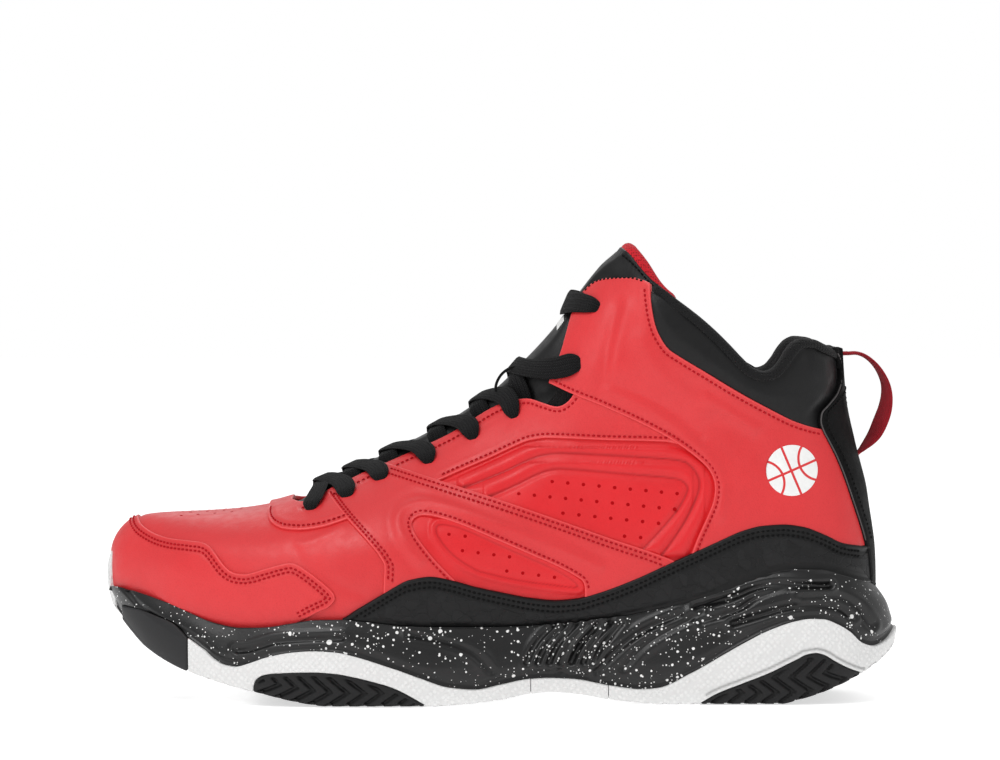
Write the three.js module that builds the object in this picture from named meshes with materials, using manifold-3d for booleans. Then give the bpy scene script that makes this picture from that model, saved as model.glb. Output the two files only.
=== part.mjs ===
// A basketball high top for the left foot, with its laces done up.
//
// Millimetres. The toe points along -X, the outer (lateral) side is -Y, up is +Z, and the sole stands on z = 0.
// Every upper piece is a shell between two offsets of one body, the "last body", cut to an outline that is
// drawn in the side view (x, z). Every sole piece is cut from one block whose plan outline is the sole's edge.

import * as THREE from "three";
import { mergeVertices } from "three/addons/utils/BufferGeometryUtils.js";
import Module from "manifold-3d";

const wasm = await Module();
wasm.setup();

// ---------------------------------------------------------------- driving dimensions

const TOE_X = -148.8; // front of the upper
const HEEL_X = 139.8; // back of the upper at the sole
const SOLE_TOE_X = -151;
const SOLE_HEEL_X = 149.6;
const CONE_TOP = 180; // the last body is capped here, above the collar
const GAP = 0.3; // clearance between neighbouring solids

const LEATHER = 1.4; // base panels, inwards from offset 0
const OVERLAY = 1.3; // overlays, outwards from offset GAP
const STIFFENER = [-2.7, -1.7]; // offsets of the puff, counter and eyelet stays
const LINING = [-3.8, -2.9];
const COLLAR_LINING = [-9.9, -8.7];
const COLLAR_FOAM = [-8.4, -1.7];
const TONGUE_SINK = 8.6; // how far the tongue's wings lie below offset 0
const TONGUE_CROWN = 2.3; // the same at its middle, between the eyestays

const OUTSOLE = 4; // rubber thickness
const BOARD = 2;
const SOCKLINER = 4.5;
const SHANK = 2;

const LACE_WIDTH = 7;
const LACE_THICK = 1.5;
const EYELET_R = 3;
const AGLET_R = 1.3;
const LOOP_WIDTH = 10;
const LOOP_THICK = 1.2;

const STATIONS = 20; // sections along the last body
const LEVELS = 6; // points up each side of a section
const EDGE_STEPS = 30; // points round the sole's edge
const OUTLINE_DETAIL = 0.36; // share of the points that a full outline has

// ---------------------------------------------------------------- curves

const clamp = (v, lo = 0, hi = 1) => Math.min(hi, Math.max(lo, v));
const lerp = (a, b, k) => a + (b - a) * k;

function smoothstep(from, to, v) {
  const k = clamp((v - from) / (to - from));
  return k * k * (3 - 2 * k);
}

// A smooth function through the points [v, value], without overshoot (monotone cubic), flat beyond its ends.
function curve(points) {
  const n = points.length;
  const slope = points.slice(1).map((p, i) => (p[1] - points[i][1]) / (p[0] - points[i][0]));
  const tangent = points.map((_, i) => {
    if (i === 0) return slope[0];
    if (i === n - 1) return slope[n - 2];
    const [a, b] = [slope[i - 1], slope[i]];
    return a * b <= 0 ? 0 : (2 * a * b) / (a + b);
  });
  return (v) => {
    if (v <= points[0][0]) return points[0][1];
    if (v >= points[n - 1][0]) return points[n - 1][1];
    let i = 0;
    while (v > points[i + 1][0]) i++;
    const h = points[i + 1][0] - points[i][0];
    const s = (v - points[i][0]) / h;
    const [y0, y1, m0, m1] = [points[i][1], points[i + 1][1], tangent[i] * h, tangent[i + 1] * h];
    return (
      y0 * (2 * s ** 3 - 3 * s ** 2 + 1) +
      m0 * (s ** 3 - 2 * s ** 2 + s) +
      y1 * (3 * s ** 2 - 2 * s ** 3) +
      m1 * (s ** 3 - s ** 2)
    );
  };
}

// Rounds a half-width off to 0 over the last `radius` before an edge, as a superellipse does.
const closure = (distance, radius, power) =>
  (1 - (1 - clamp(distance / radius)) ** power) ** (1 / power);

// Points of an outline along a function of x, or of z.
const spread = (a, b, n) => Array.from({ length: n + 1 }, (_, i) => lerp(a, b, i / n));
const steps = (n) => Math.max(2, Math.round(n * OUTLINE_DETAIL));
const along = (f, x0, x1, n, dz = 0) => spread(x0, x1, steps(n)).map((x) => [x, f(x) + dz]);
const upAlong = (f, z0, z1, n, dx = 0) => spread(z0, z1, steps(n)).map((z) => [f(z) + dx, z]);
const spline = (points, n) =>
  new THREE.SplineCurve(points.map((p) => new THREE.Vector2(...p)))
    .getPoints(steps(n))
    .map((p) => [p.x, p.y]);

// ---------------------------------------------------------------- the last body

const ridgeZ = curve([
  [-148.8, 50], [-148.4, 55.5], [-147.3, 59], [-145.5, 62], [-143, 64.7], [-140, 66.8], [-136, 68.6],
  [-130, 69.3], [-110, 70.3], [-100, 71.1], [-90, 72.6], [-80, 75.2], [-70, 78.6], [-60, 83],
  [-50, 87.7], [-40, 92.5], [-30, 97.5], [-20, 103], [-10, 109.5], [0, 117], [10, 128], [20, 140.5],
  [30, 155], [38, 165], [44, 172], [60, 194], [80, 222],
]);
const backX = curve([
  [35, 139.8], [50, 139.6], [58, 139.2], [65, 138.3], [72, 137.2], [80, 136], [88, 134], [94, 132.4],
  [100, 131], [107, 129.4], [113, 128.4], [125, 127.4], [140, 126.6], [180, 125],
]);
const boardZ = curve([
  [-148, 38], [-135, 33], [-120, 28], [-100, 23.5], [-80, 21.5], [-60, 21], [-30, 22], [0, 24],
  [40, 27], [80, 29], [110, 30], [138, 31],
]);
const middleY = curve([
  [-149, 11], [-120, 9], [-100, 8], [-60, 6], [-20, 4], [20, 1.5], [50, 0], [100, -1], [140, -1],
]);
const lateralWidth = curve([
  [-149, 34], [-143, 34], [-120, 42.5], [-100, 47.5], [-80, 52], [-60, 54], [-40, 53.5], [-20, 50.5],
  [0, 46.5], [20, 42.5], [40, 39.8], [60, 37.8], [80, 36.4], [100, 35.2], [140, 34],
]);
const medialWidth = curve([
  [-149, 32], [-143, 34.5], [-120, 37.5], [-100, 38.8], [-80, 40], [-60, 40], [-40, 38.2], [-20, 35.3],
  [0, 33], [20, 32], [40, 32.2], [60, 33], [80, 33.8], [100, 34], [140, 34],
]);
const shaftWidth = curve([[55, 33], [100, 31.5], [112, 32], [128, 34], [150, 33.5], [185, 32]]);
const crownDepth = curve([
  [-149, 12], [-140, 21], [-120, 24], [-90, 28], [-60, 38], [-30, 48], [0, 58], [44, 56], [80, 50],
]);
const crownPower = curve([[-149, 2.2], [-120, 2.4], [-60, 2.4], [-10, 2.4], [20, 2.2], [60, 2]]);
const widestZ = curve([[-149, 50], [-120, 46], [-60, 45], [0, 50], [60, 56], [140, 60]]);
const TOE_ROUND = [62, 2.1]; // radius and power in plan
const HEEL_ROUND = [34, 2.2];
const TUCK = 0.12; // share of its width that the body loses towards the board

// The body at offset t: its own x range, roof, floor and half-widths.
function body(t) {
  const x0 = TOE_X - t;
  const x1 = HEEL_X + t;
  const onBase = (x) => TOE_X + ((x - x0) * (HEEL_X - TOE_X)) / (x1 - x0);
  const floor = (x) => boardZ(onBase(x)) - t;
  const ridge = (x) => {
    const b = onBase(x);
    const slope = ridgeZ(b + 1) - ridgeZ(b - 1);
    return ridgeZ(b) + t * Math.sqrt(1 + clamp(slope / 2, -1.7, 1.7) ** 2);
  };
  const backZ = (x) => {
    let [lo, hi] = [35, CONE_TOP];
    if (backX(CONE_TOP) + t >= x) return CONE_TOP;
    for (let i = 0; i < 24; i++) {
      const z = (lo + hi) / 2;
      if (backX(z) + t > x) lo = z;
      else hi = z;
    }
    return lo;
  };
  const roof = (x) => Math.max(floor(x) + 0.5, Math.min(ridge(x), backZ(x), CONE_TOP));
  const width = (side, x, z) => {
    const b = onBase(x);
    const foot = (side < 0 ? lateralWidth : medialWidth)(b);
    const plan = lerp(foot, shaftWidth(z), smoothstep(55, 110, z)) + t;
    const low = clamp((widestZ(b) - z) / (widestZ(b) - boardZ(b)));
    return (
      plan *
      closure(x - x0, TOE_ROUND[0] + t, TOE_ROUND[1]) *
      closure(ridge(x) - z, crownDepth(b) + t, crownPower(b)) *
      closure(backX(z) + t - x, HEEL_ROUND[0] + t, HEEL_ROUND[1]) *
      (1 - TUCK * low ** 3)
    );
  };
  return { x0, x1, floor, roof, ridge, width };
}

// A point of the body at station x, a share u of the way up its section, on side -1 or 1.
function bodyPoint(x, u, side, t) {
  const b = body(t);
  const z = lerp(b.floor(x), b.roof(x), Math.sin((u * Math.PI) / 2));
  return new THREE.Vector3(x, middleY(x) + side * b.width(side, x, z), z);
}

// ---------------------------------------------------------------- solids

function asManifold(geometry) {
  const g = geometry.clone();
  g.deleteAttribute("normal");
  g.deleteAttribute("uv");
  const merged = mergeVertices(g, 1e-4);
  const index = Array.from(merged.index.array);
  const triangles = [];
  for (let i = 0; i < index.length; i += 3) {
    const [a, b, c] = index.slice(i, i + 3);
    if (a !== b && b !== c && c !== a) triangles.push(a, b, c);
  }
  return new wasm.Manifold(
    new wasm.Mesh({
      numProp: 3,
      vertProperties: merged.attributes.position.array,
      triVerts: new Uint32Array(triangles),
    }),
  );
}

function asGeometry(manifold) {
  const m = manifold.getMesh();
  const positions = new Float32Array(m.numVert * 3);
  for (let i = 0; i < m.numVert; i++)
    positions.set(m.vertProperties.subarray(i * m.numProp, i * m.numProp + 3), i * 3);
  const g = new THREE.BufferGeometry();
  g.setAttribute("position", new THREE.BufferAttribute(positions, 3));
  g.setIndex(new THREE.BufferAttribute(m.triVerts, 1));
  g.computeVertexNormals();
  return g;
}

// A skin over rings of equally many points. closed: the last ring joins the first; capped: the end rings are filled.
function loft(rings, capped) {
  const n = rings[0].length;
  const positions = rings.flat().flatMap((p) => [p.x, p.y, p.z]);
  const index = [];
  for (let i = 0; i + 1 < rings.length; i++)
    for (let j = 0; j < n; j++) {
      const k = (j + 1) % n;
      const [a, b, c, d] = [i * n + j, i * n + k, (i + 1) * n + j, (i + 1) * n + k];
      index.push(a, b, d, a, d, c);
    }
  if (capped)
    for (const [base, flip] of [[0, true], [(rings.length - 1) * n, false]])
      for (let j = 1; j + 1 < n; j++)
        index.push(base, ...(flip ? [base + j + 1, base + j] : [base + j, base + j + 1]));
  const g = new THREE.BufferGeometry();
  g.setAttribute("position", new THREE.Float32BufferAttribute(positions, 3));
  g.setIndex(index);
  const solid = asManifold(g);
  return solid.volume() < 0 ? asManifold(reversed(g)) : solid;
}

function reversed(g) {
  const r = g.clone();
  const i = r.index.array;
  for (let k = 0; k < i.length; k += 3) [i[k + 1], i[k + 2]] = [i[k + 2], i[k + 1]];
  return r;
}

// The body as a solid, or its part above level uLow. offset is a number, or a function of (x, u, side)
// with a base for the x range.
function bodySolid(offset, uLow = 0, levels = LEVELS) {
  const offsetAt = typeof offset === "number" ? () => offset : offset;
  const base = typeof offset === "number" ? offset : offsetAt.base;
  const { x0, x1 } = body(base);
  const rings = spread(0, Math.PI, STATIONS).map((angle) => {
    const x = lerp(x0, x1, (1 - Math.cos(angle)) / 2);
    const half = (side) =>
      spread(uLow, 1, levels).map((u) => bodyPoint(x, u, side, offsetAt(x, u, side)));
    return [...half(-1), ...half(1).reverse()];
  });
  return loft(rings, typeof offset !== "number");
}

const bodies = new Map();
function offsetBody(t) {
  if (!bodies.has(t)) bodies.set(t, bodySolid(t));
  return bodies.get(t);
}
const shell = (outer, inner) => offsetBody(outer).subtract(offsetBody(inner));

// A side-view outline, extruded across the shoe from y0 to y1.
const HALF_SPAN = 90;
function prism(points, y0 = -HALF_SPAN, y1 = HALF_SPAN) {
  const shape = new THREE.Shape(points.map((p) => new THREE.Vector2(...p)));
  const g = new THREE.ExtrudeGeometry(shape, { depth: y1 - y0, bevelEnabled: false });
  return asManifold(g.rotateX(Math.PI / 2).translate(0, y1, 0));
}

const box = (x0, x1, y0, y1, z0, z1) =>
  asManifold(
    new THREE.BoxGeometry(x1 - x0, y1 - y0, z1 - z0).translate((x0 + x1) / 2, (y0 + y1) / 2, (z0 + z1) / 2),
  );

const unite = (solids) => solids.reduce((a, b) => a.add(b));

const parts = new THREE.Group();
function add(name, solid, material) {
  const mesh = new THREE.Mesh(asGeometry(solid), material);
  mesh.name = name;
  parts.add(mesh);
}

// ---------------------------------------------------------------- materials

const finish = (color, roughness, metalness = 0) =>
  new THREE.MeshStandardMaterial({ color, roughness, metalness });
const RED_LEATHER = finish(0xd8393d, 0.45);
const BLACK_LEATHER = finish(0x232323, 0.5);
const BLACK_WEBBING = finish(0x161616, 0.9);
const RED_WEBBING = finish(0x9c2a30, 0.85);
const RED_MESH = finish(0xc8313a, 0.9);
const BLACK_MESH = finish(0x1a1a1a, 0.95);
const SPECKLED_FOAM = finish(0x2a2a2a, 0.6);
const WHITE_RUBBER = finish(0xe6e6e4, 0.6);
const BLACK_RUBBER = finish(0x2b2b2b, 0.7);
const FOAM = finish(0xd9d4b8, 0.95);
const BOARD_FIBRE = finish(0xcfc6b0, 0.9);
const STIFF_PLASTIC = finish(0x9a9a96, 0.6);
const WHITE_PRINT = finish(0xf4f4f2, 0.4);
const LACE_TIP = finish(0x111111, 0.3);

// ---------------------------------------------------------------- side-view lines

// Top of the midsole's wall.
const featherZ = curve([
  [-151, 41.5], [-146, 42], [-140, 40.7], [-130, 37.7], [-120, 34], [-110, 30.7], [-100, 29.2],
  [-90, 29.5], [-80, 31], [-70, 32.5], [-60, 32.7], [-50, 31.7], [-30, 30], [0, 29.8], [20, 30.5],
  [40, 32.5], [60, 36.5], [70, 38.6], [80, 41.7], [90, 46], [100, 49.6], [110, 51], [120, 50.8],
  [130, 48.5], [140, 46], [150, 45],
]);
// Top of the white rubber.
const whiteZ = curve([
  [-152, 55], [-148.5, 55], [-147, 50], [-144, 42], [-138, 34.5], [-128, 28.5], [-118, 24.4],
  [-112, 20.3], [-108, 16.8], [-104, 14.8], [-100, 14.3], [-96, 15.3], [-88, 18.2], [-78, 20.2],
  [-70, 20.7], [-62, 20.3], [-55, 18.8], [-40, 14], [-30, 10.3], [-20, 6.9], [-10, 5.9], [0, 7.8],
  [10, 9.7], [18, 10], [27, 9.5], [40, 7], [52, 5.5], [58, 6], [70, 11.5], [90, 23], [100, 28],
  [110, 31.3], [115, 32], [120, 31.8], [125, 30], [130, 27], [135, 22.5], [140, 21], [145, 22.7],
  [150, 27.5],
]);
// The sole's underside.
const groundZ = curve([
  [-151, 46], [-150.5, 41], [-148.5, 35], [-145, 30.5], [-140, 25], [-135, 20.3], [-125, 14.5],
  [-116, 11], [-100, 6.5], [-90, 4.3], [-80, 2], [-72, 0.6], [-66, 0], [-25, 0], [-10, 1],
  [0, 2.2], [10, 4.3], [18, 5], [28, 4.2], [40, 2], [52, 0.5], [60, 0], [104, 0], [110, 1.3],
  [118, 3.6], [130, 8.5], [140, 14], [145, 17.5], [148, 20.3], [149.6, 24],
]);
// Black tread pads: the line of their upper edges.
const forePadZ = curve([
  [-93, 7], [-92, 9.6], [-89, 11.5], [-85, 12.2], [-70, 12.8], [-62, 12.3], [-55, 11], [-48, 9.3],
  [-42, 7.5], [-37, 5.3], [-33, 3], [-29, 0.6],
]);
const heelPadZ = curve([
  [74, 0.5], [80, 4], [90, 8], [100, 12], [105, 14.5], [110, 17], [113.5, 18.7], [117, 19.2],
  [120, 18.5], [125, 15.6], [130, 13], [134.2, 11.3],
]);
const toePadZ = curve([[-144.6, 34.8], [-137, 34], [-130, 32], [-124, 29.8], [-120, 26.4], [-118, 24.3]]);

const foxingZ = curve([
  [-59, 32.8], [-55, 35.5], [-50, 38.5], [-45, 41.5], [-40, 44.5], [-35, 47], [-27, 48.2],
  [-20, 47], [-10, 44.2], [0, 42], [10, 40], [20, 39], [27, 39.5], [35, 41.5], [50, 47], [60, 51.5],
  [70, 56], [80, 60.5], [90, 64.8], [97, 66.5], [105, 67], [112, 66.1], [120, 63], [127, 59.6],
  [134, 58.2],
]);
const seamX = curve([[30, -44.5], [44, -44.3], [52, -44], [56, -46], [60, -49.5], [70, -59.3], [78.4, -67]]);
const bandZ = curve([[-44, 88.5], [-35, 86], [-20, 81.7], [0, 75.7], [20, 69], [40, 62], [55, 57], [63, 54]]);
const throatZ = curve([
  [-79, 76.2], [-77, 75.2], [-74, 75], [-70, 75.8], [-66, 78], [-62, 80], [-55, 83.3], [-50, 85.8],
  [-44, 88.7], [-36, 92.3], [-27, 96], [-20, 99.8], [-11, 105], [-2, 110.7], [5, 113.3], [10, 113.7],
  [15, 112.3], [20, 110.7],
]);
const insetTopZ = curve([
  [-24, 83], [-15, 87], [-5, 91.3], [5, 96], [10, 98], [17, 99], [40, 98.3], [60, 97.8], [64, 97.2],
]);
const collarZ = curve([
  [52, 159], [60, 154.8], [65, 151], [70, 147.3], [75, 143.3], [80, 138.8], [85, 133.8], [90, 128.5],
  [94, 125], [98, 123.8], [101, 124.8], [104, 128], [107, 132.3], [110, 135.2], [113, 136.3],
  [117, 136], [121, 134.3], [125, 132.5], [128, 131.3], [132, 131],
]);
const collarSeamZ = curve([
  [56.2, 148], [57, 141], [59, 137], [62, 133], [66, 130], [75, 124.5], [90, 115.5], [100, 110],
  [110, 105], [118.5, 102.4], [140, 99],
]);
const stripX = curve([
  [40, 137.5], [47, 137], [52, 136.5], [58, 135.5], [62, 134.5], [67, 133], [73, 131], [79, 129],
  [86, 126.5], [92, 124], [98, 121], [102, 119], [105, 118.2], [108, 118.5], [111, 121], [116, 125],
  [121, 126.5], [126, 126.4], [131, 124.5], [135, 121],
]);
const REAR_EDGE = spline(
  [[17.5, 119.5], [27, 115.3], [36, 111.8], [50, 105.5], [60, 100.3], [66, 96.6], [72, 92.2],
    [76.5, 88], [78.7, 84], [79.3, 80], [78.5, 75], [76, 69], [73, 62.5], [71, 57.5]], 22,
);
const THROAT_TOP = spline(
  [[17.5, 119.7], [22, 130], [24.5, 138], [27, 146], [30, 152], [35, 157], [40, 158.6], [48, 159.2],
    [52.3, 158.3]], 14,
);
const TEARDROP = [
  ...spline([[-18.5, 47.3], [-25, 54], [-30, 60], [-33, 64.5], [-33.7, 68], [-31, 70.2], [-25, 69.7],
    [-15, 66.7], [0, 60.5], [10, 56.2], [20, 51.8], [27, 48], [30, 46]], 22),
  [30.3, 36.5], [-18.5, 36.5],
];
const CAP_EDGE = spline(
  [[-139.5, 72], [-139, 68.6], [-137, 65.2], [-132, 62.3], [-126, 60.6], [-118, 59.8], [-112, 59],
    [-107, 55.5], [-103.5, 51.3], [-100, 48.9], [-94, 48.9], [-87, 51], [-80, 52.8], [-75, 51.8],
    [-69, 47.8], [-63.5, 43], [-62.6, 39.3], [-67, 35.6], [-76, 32]], 40,
);
const D_EDGE = spline(
  [[-86.5, 80], [-87.6, 75], [-88.9, 71], [-87.5, 67.5], [-84.5, 65.4], [-80, 64.5], [-73, 64.7],
    [-66, 66], [-57.8, 68.7]], 16,
);

// The edge line that lies `by` to the left of a path, for a clearance between neighbours.
function beside(path, by) {
  return path.map((p, i) => {
    const a = path[Math.max(0, i - 1)];
    const b = path[Math.min(path.length - 1, i + 1)];
    const n = new THREE.Vector2(a[1] - b[1], b[0] - a[0]).normalize();
    return [p[0] + n.x * by, p[1] + n.y * by];
  });
}

// ---------------------------------------------------------------- the sole

const soleLateral = curve([
  [-151, 42], [-145, 42.4], [-135, 45.9], [-120, 49.8], [-100, 54.2], [-80, 58.5], [-60, 60],
  [-40, 59], [-20, 56], [0, 51.3], [20, 47], [40, 44.3], [60, 42.8], [80, 42], [100, 41.5], [150, 41.5],
]);
const soleMedial = curve([
  [-151, 40], [-145, 41], [-135, 43.4], [-120, 44.4], [-100, 45.6], [-80, 46.7], [-60, 47],
  [-40, 45], [-20, 41.5], [0, 38.5], [20, 37.2], [40, 37.6], [60, 39], [80, 40.3], [100, 41], [150, 41],
]);
const SOLE_TOE_ROUND = [66, 2.1];
const SOLE_HEEL_ROUND = [42, 2.2];
const bulgeZ = curve([
  [-151, 46], [-140, 36], [-120, 24], [-100, 17], [-60, 14], [40, 14], [80, 18], [110, 24], [150, 26],
]);
const TOP_LEAN = 4.5; // how far the wall leans in at its top, along the sides
const HEEL_LEAN = 9; // and at the back of the heel
const FOOT_ROUND = 2.8; // and at the ground

// The sole's edge in plan: points with their outward normals.
function soleEdge() {
  const at = (angle) => {
    const x = lerp(SOLE_TOE_X, SOLE_HEEL_X, (1 - Math.cos(angle)) / 2);
    const side = angle < Math.PI ? -1 : 1;
    const half =
      (side < 0 ? soleLateral : soleMedial)(x) *
      closure(x - SOLE_TOE_X, ...SOLE_TOE_ROUND) *
      closure(SOLE_HEEL_X - x, ...SOLE_HEEL_ROUND);
    return new THREE.Vector2(x, middleY(x) + side * half);
  };
  return spread(0, 2 * Math.PI, EDGE_STEPS).slice(0, -1).map((angle) => {
    const step = at(angle + 0.02).sub(at(angle - 0.02)).normalize();
    return { point: at(angle), normal: new THREE.Vector2(step.y, -step.x) };
  });
}

function wallInset(x, z, normal) {
  const widest = bulgeZ(x);
  if (z < widest) return FOOT_ROUND * clamp((widest - z) / (widest - groundZ(x) + 2)) ** 2.5;
  const top = Math.max(featherZ(x), widest + 9);
  const lean = lerp(TOP_LEAN, HEEL_LEAN, clamp(normal.x) ** 4);
  return lean * clamp((z - widest) / (top - widest), 0, 1.25) ** 1.4;
}

const soleBlocks = new Map();
function soleBlock(inset) {
  if (soleBlocks.has(inset)) return soleBlocks.get(inset);
  const levels = [-3, 4, 12, 20, 28, 36, 45, 60];
  const edge = soleEdge();
  const rings = levels.map((z) =>
    edge.map(({ point, normal }) => {
      const by = inset + wallInset(point.x, z, normal);
      return new THREE.Vector3(point.x - normal.x * by, point.y - normal.y * by, z);
    }),
  );
  soleBlocks.set(inset, loft(rings, true));
  return soleBlocks.get(inset);
}

const SIDE_STEPS = 64;
const BEYOND = 6; // outlines run this far past the sole
const X0 = SOLE_TOE_X - BEYOND;
const X1 = SOLE_HEEL_X + BEYOND;
const between = (low, high, x0, x1, n, dLow = 0, dHigh = 0) =>
  prism([...along(low, x0, x1, n, dLow), ...along(high, x1, x0, n, dHigh)]);
const aboveGround = (lift) => between(groundZ, () => 62, X0, X1, SIDE_STEPS, lift);

const BRIDGE_X = [10.5, 39.5]; // where the white rubber is cut across
const whiteZone = (grow) => between(() => -9, whiteZ, X0, X1, SIDE_STEPS, 0, grow);
const belowFeather = (drop) => between(() => -9, featherZ, X0, X1, SIDE_STEPS, 0, drop);
const LATERAL_TOE = box(-170, -118, -HALF_SPAN, 2, -10, 60);
const core = soleBlock(OUTSOLE).intersect(aboveGround(OUTSOLE));
const forePad = prism([...along(forePadZ, -93, -29, 20), [-29, -5], [-93, -5]]);
const heelPad = prism([...along(heelPadZ, 74, 134.2, 20), [134.2, -5], [74, -5]]);
const underCore = between(() => -9, groundZ, X0, X1, SIDE_STEPS, 0, OUTSOLE + GAP);
const HEM = -3; // overlays reach this far below the midsole's upper edge

// The black rubber at the toe: the zone it fills, grown sideways and upwards.
const toePadZone = (grow) =>
  between(() => -9, toePadZ, -145, -118, 28, 0, grow)
    .intersect(box(-144.6 - grow, -118.3 + grow, -HALF_SPAN, 2 - GAP + grow, -9, 60));
const rubber = soleBlock(0).intersect(aboveGround(0)).subtract(core);

function outsole() {
  const grown = (f, x0, x1) => prism([...along(f, x0, x1, 20, GAP), [x1, -6], [x0, -6]]);
  const white = rubber
    .intersect(whiteZone(0))
    .subtract(offsetBody(GAP + OVERLAY + GAP))
    .subtract(LATERAL_TOE)
    .subtract(grown(forePadZ, -93 - GAP, -29 + GAP))
    .subtract(grown(heelPadZ, 74 - GAP, 134.2 + GAP));
  const cut = (x0, x1) => white.intersect(box(x0, x1, -HALF_SPAN, HALF_SPAN, -10, 70));
  add("outsole_forefoot", largest(cut(-170, BRIDGE_X[0])), WHITE_RUBBER);
  add("outsole_bridge", largest(cut(BRIDGE_X[0] + GAP, BRIDGE_X[1])), WHITE_RUBBER);
  add("outsole_heel", largest(cut(BRIDGE_X[1] + GAP, 170)), WHITE_RUBBER);
  add("outsole_forefoot_pad", rubber.intersect(forePad), BLACK_RUBBER);
  add("outsole_heel_pad", rubber.intersect(heelPad), BLACK_RUBBER);
  add("outsole_toe_pad", largest(rubber.intersect(toePadZone(0))), BLACK_RUBBER);
}

const largest = (solid) => solid.decompose().sort((a, b) => b.volume() - a.volume())[0];

const SHANK_X = [-22, 72];
const shankBand = (lift, depth, grow) =>
  between(groundZ, groundZ, X0, X1, SIDE_STEPS, OUTSOLE + lift, OUTSOLE + lift + depth)
    .intersect(box(SHANK_X[0] - grow, SHANK_X[1] + grow, -18 - grow, 18 + grow, -10, 40));

function midsole() {
  const skin = soleBlock(0.8).intersect(belowFeather(0));
  const wall = skin.subtract(whiteZone(GAP)).subtract(toePadZone(GAP));
  const toeFill = skin
    .intersect(box(-142.5, -118 - GAP, -HALF_SPAN, 2 - GAP, 0, 60))
    .subtract(toePadZone(GAP));
  const inner = core.intersect(soleBlock(OUTSOLE + GAP)).intersect(belowFeather(0)).subtract(underCore);
  const rebate = offsetBody(GAP + OVERLAY + GAP).subtract(belowFeather(HEM - GAP));
  const foam = unite([wall, toeFill, inner])
    .subtract(offsetBody(GAP))
    .subtract(rebate)
    .subtract(shankBand(0, SHANK + GAP, GAP))
    .subtract(box(-170, -142.5, -HALF_SPAN, HALF_SPAN, 0, 70));
  add("midsole", largest(foam), SPECKLED_FOAM);
  add("shank_plate", shankBand(GAP, SHANK - GAP, 0), STIFF_PLASTIC);
}

// The flat pieces inside, which follow the body's plan shape just above its floor.
function footbed() {
  const slab = (offset, drop, low, high) =>
    offsetBody(offset)
      .translate(0, 0, -drop)
      .intersect(between(boardZ, boardZ, -147, 138.5, 26, low, high));
  add("insole_board", largest(slab(-5, 4.6, 0.4, 0.4 + BOARD)), BOARD_FIBRE);
  add("sockliner", largest(slab(-7.8, 5.1, 2.7, 2.7 + SOCKLINER)), BLACK_MESH);
}

// ---------------------------------------------------------------- the upper

const LATERAL = [-HALF_SPAN, 0];
const MEDIAL = [0, HALF_SPAN];
const SIDES = [["lateral", LATERAL], ["medial", MEDIAL]];
const base = shell(0, -LEATHER);
const overlay = shell(GAP + OVERLAY, GAP).subtract(belowFeather(HEM));
const stiffener = shell(STIFFENER[1], STIFFENER[0]);

// Where the collar's leather rolls over its padding, and everything above a line.
const prismAbove = (f, lift) => between(f, () => 230, 50, 170, 72, lift);
const collarRim = prismAbove(collarZ, -LEATHER).subtract(prismAbove(collarZ, 0));

const hemLine = (x0, x1, n, lift = 2) => along(boardZ, x0, x1, n, lift);
const overlayHem = (x0, x1) => [[x0, 20], [x1, 20]];

// The throat's edge in the side view, and how far it lies from the shoe's middle on each side.
const throatEdgeZ = curve([
  [-79.3, 74.6], [-76, 74], [-72, 75], [-66, 78], [-55, 83.3], [-44, 88.7], [-36, 92.3], [-20, 99.8], [-2, 110.7],
  [5, 113.3], [10, 114.8], [15, 117.3], [17.5, 119.7], [22, 130], [24.5, 138], [27, 146], [30, 152],
  [35, 157], [40, 158.6], [52, 159],
]);
const throatHalf = (x, side) => body(0).width(side, x, throatEdgeZ(x));

// The open corridor between the two throat edges, from the toe end of the laces to the collar's front.
function throatCorridor(grow) {
  const rings = spread(-79.3, 53, 18).map((x) => {
    const at = (side, z) => new THREE.Vector3(x, middleY(x) + side * (throatHalf(x, side) + grow), z);
    return [at(-1, 50), at(1, 50), at(1, 210), at(-1, 210)];
  });
  return loft(rings, true);
}
const corridor = throatCorridor(0);

function vamp() {
  const outline = [
    ...hemLine(-160, -45.2, 18),
    ...upAlong(seamX, 30, 78, 10, -GAP),
    [-67, 120],
    [-160, 120],
  ];
  add("vamp", largest(laced(base.intersect(prism(outline)), [0])), RED_LEATHER);
  const cap = [[-170, 72], ...CAP_EDGE, ...overlayHem(-76, -155), [-170, 38]];
  const bumper = soleBlock(-2).intersect(between(() => -5, whiteZ, X0, X1, SIDE_STEPS, 0, GAP));
  const clear = bumper.subtract(offsetBody(0)).intersect(box(-170, -118, -1, HALF_SPAN, 0, 60));
  add("toe_cap", largest(overlay.intersect(prism(cap)).subtract(clear)), RED_LEATHER);
  const tip = [...D_EDGE, ...upAlong(seamX, 68.7, 78, 4, -GAP), [-67, 90], [-86, 90]];
  add("throat_overlay", largest(laced(overlay.intersect(prism(tip)), [0])), RED_LEATHER);
  const puff = [...hemLine(-160, -112, 8, 3.2), [-113, 66], [-122, 66.5], [-134, 62], [-160, 62]];
  add("toe_puff", largest(stiffener.intersect(prism(puff))), STIFF_PLASTIC);
}

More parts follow.
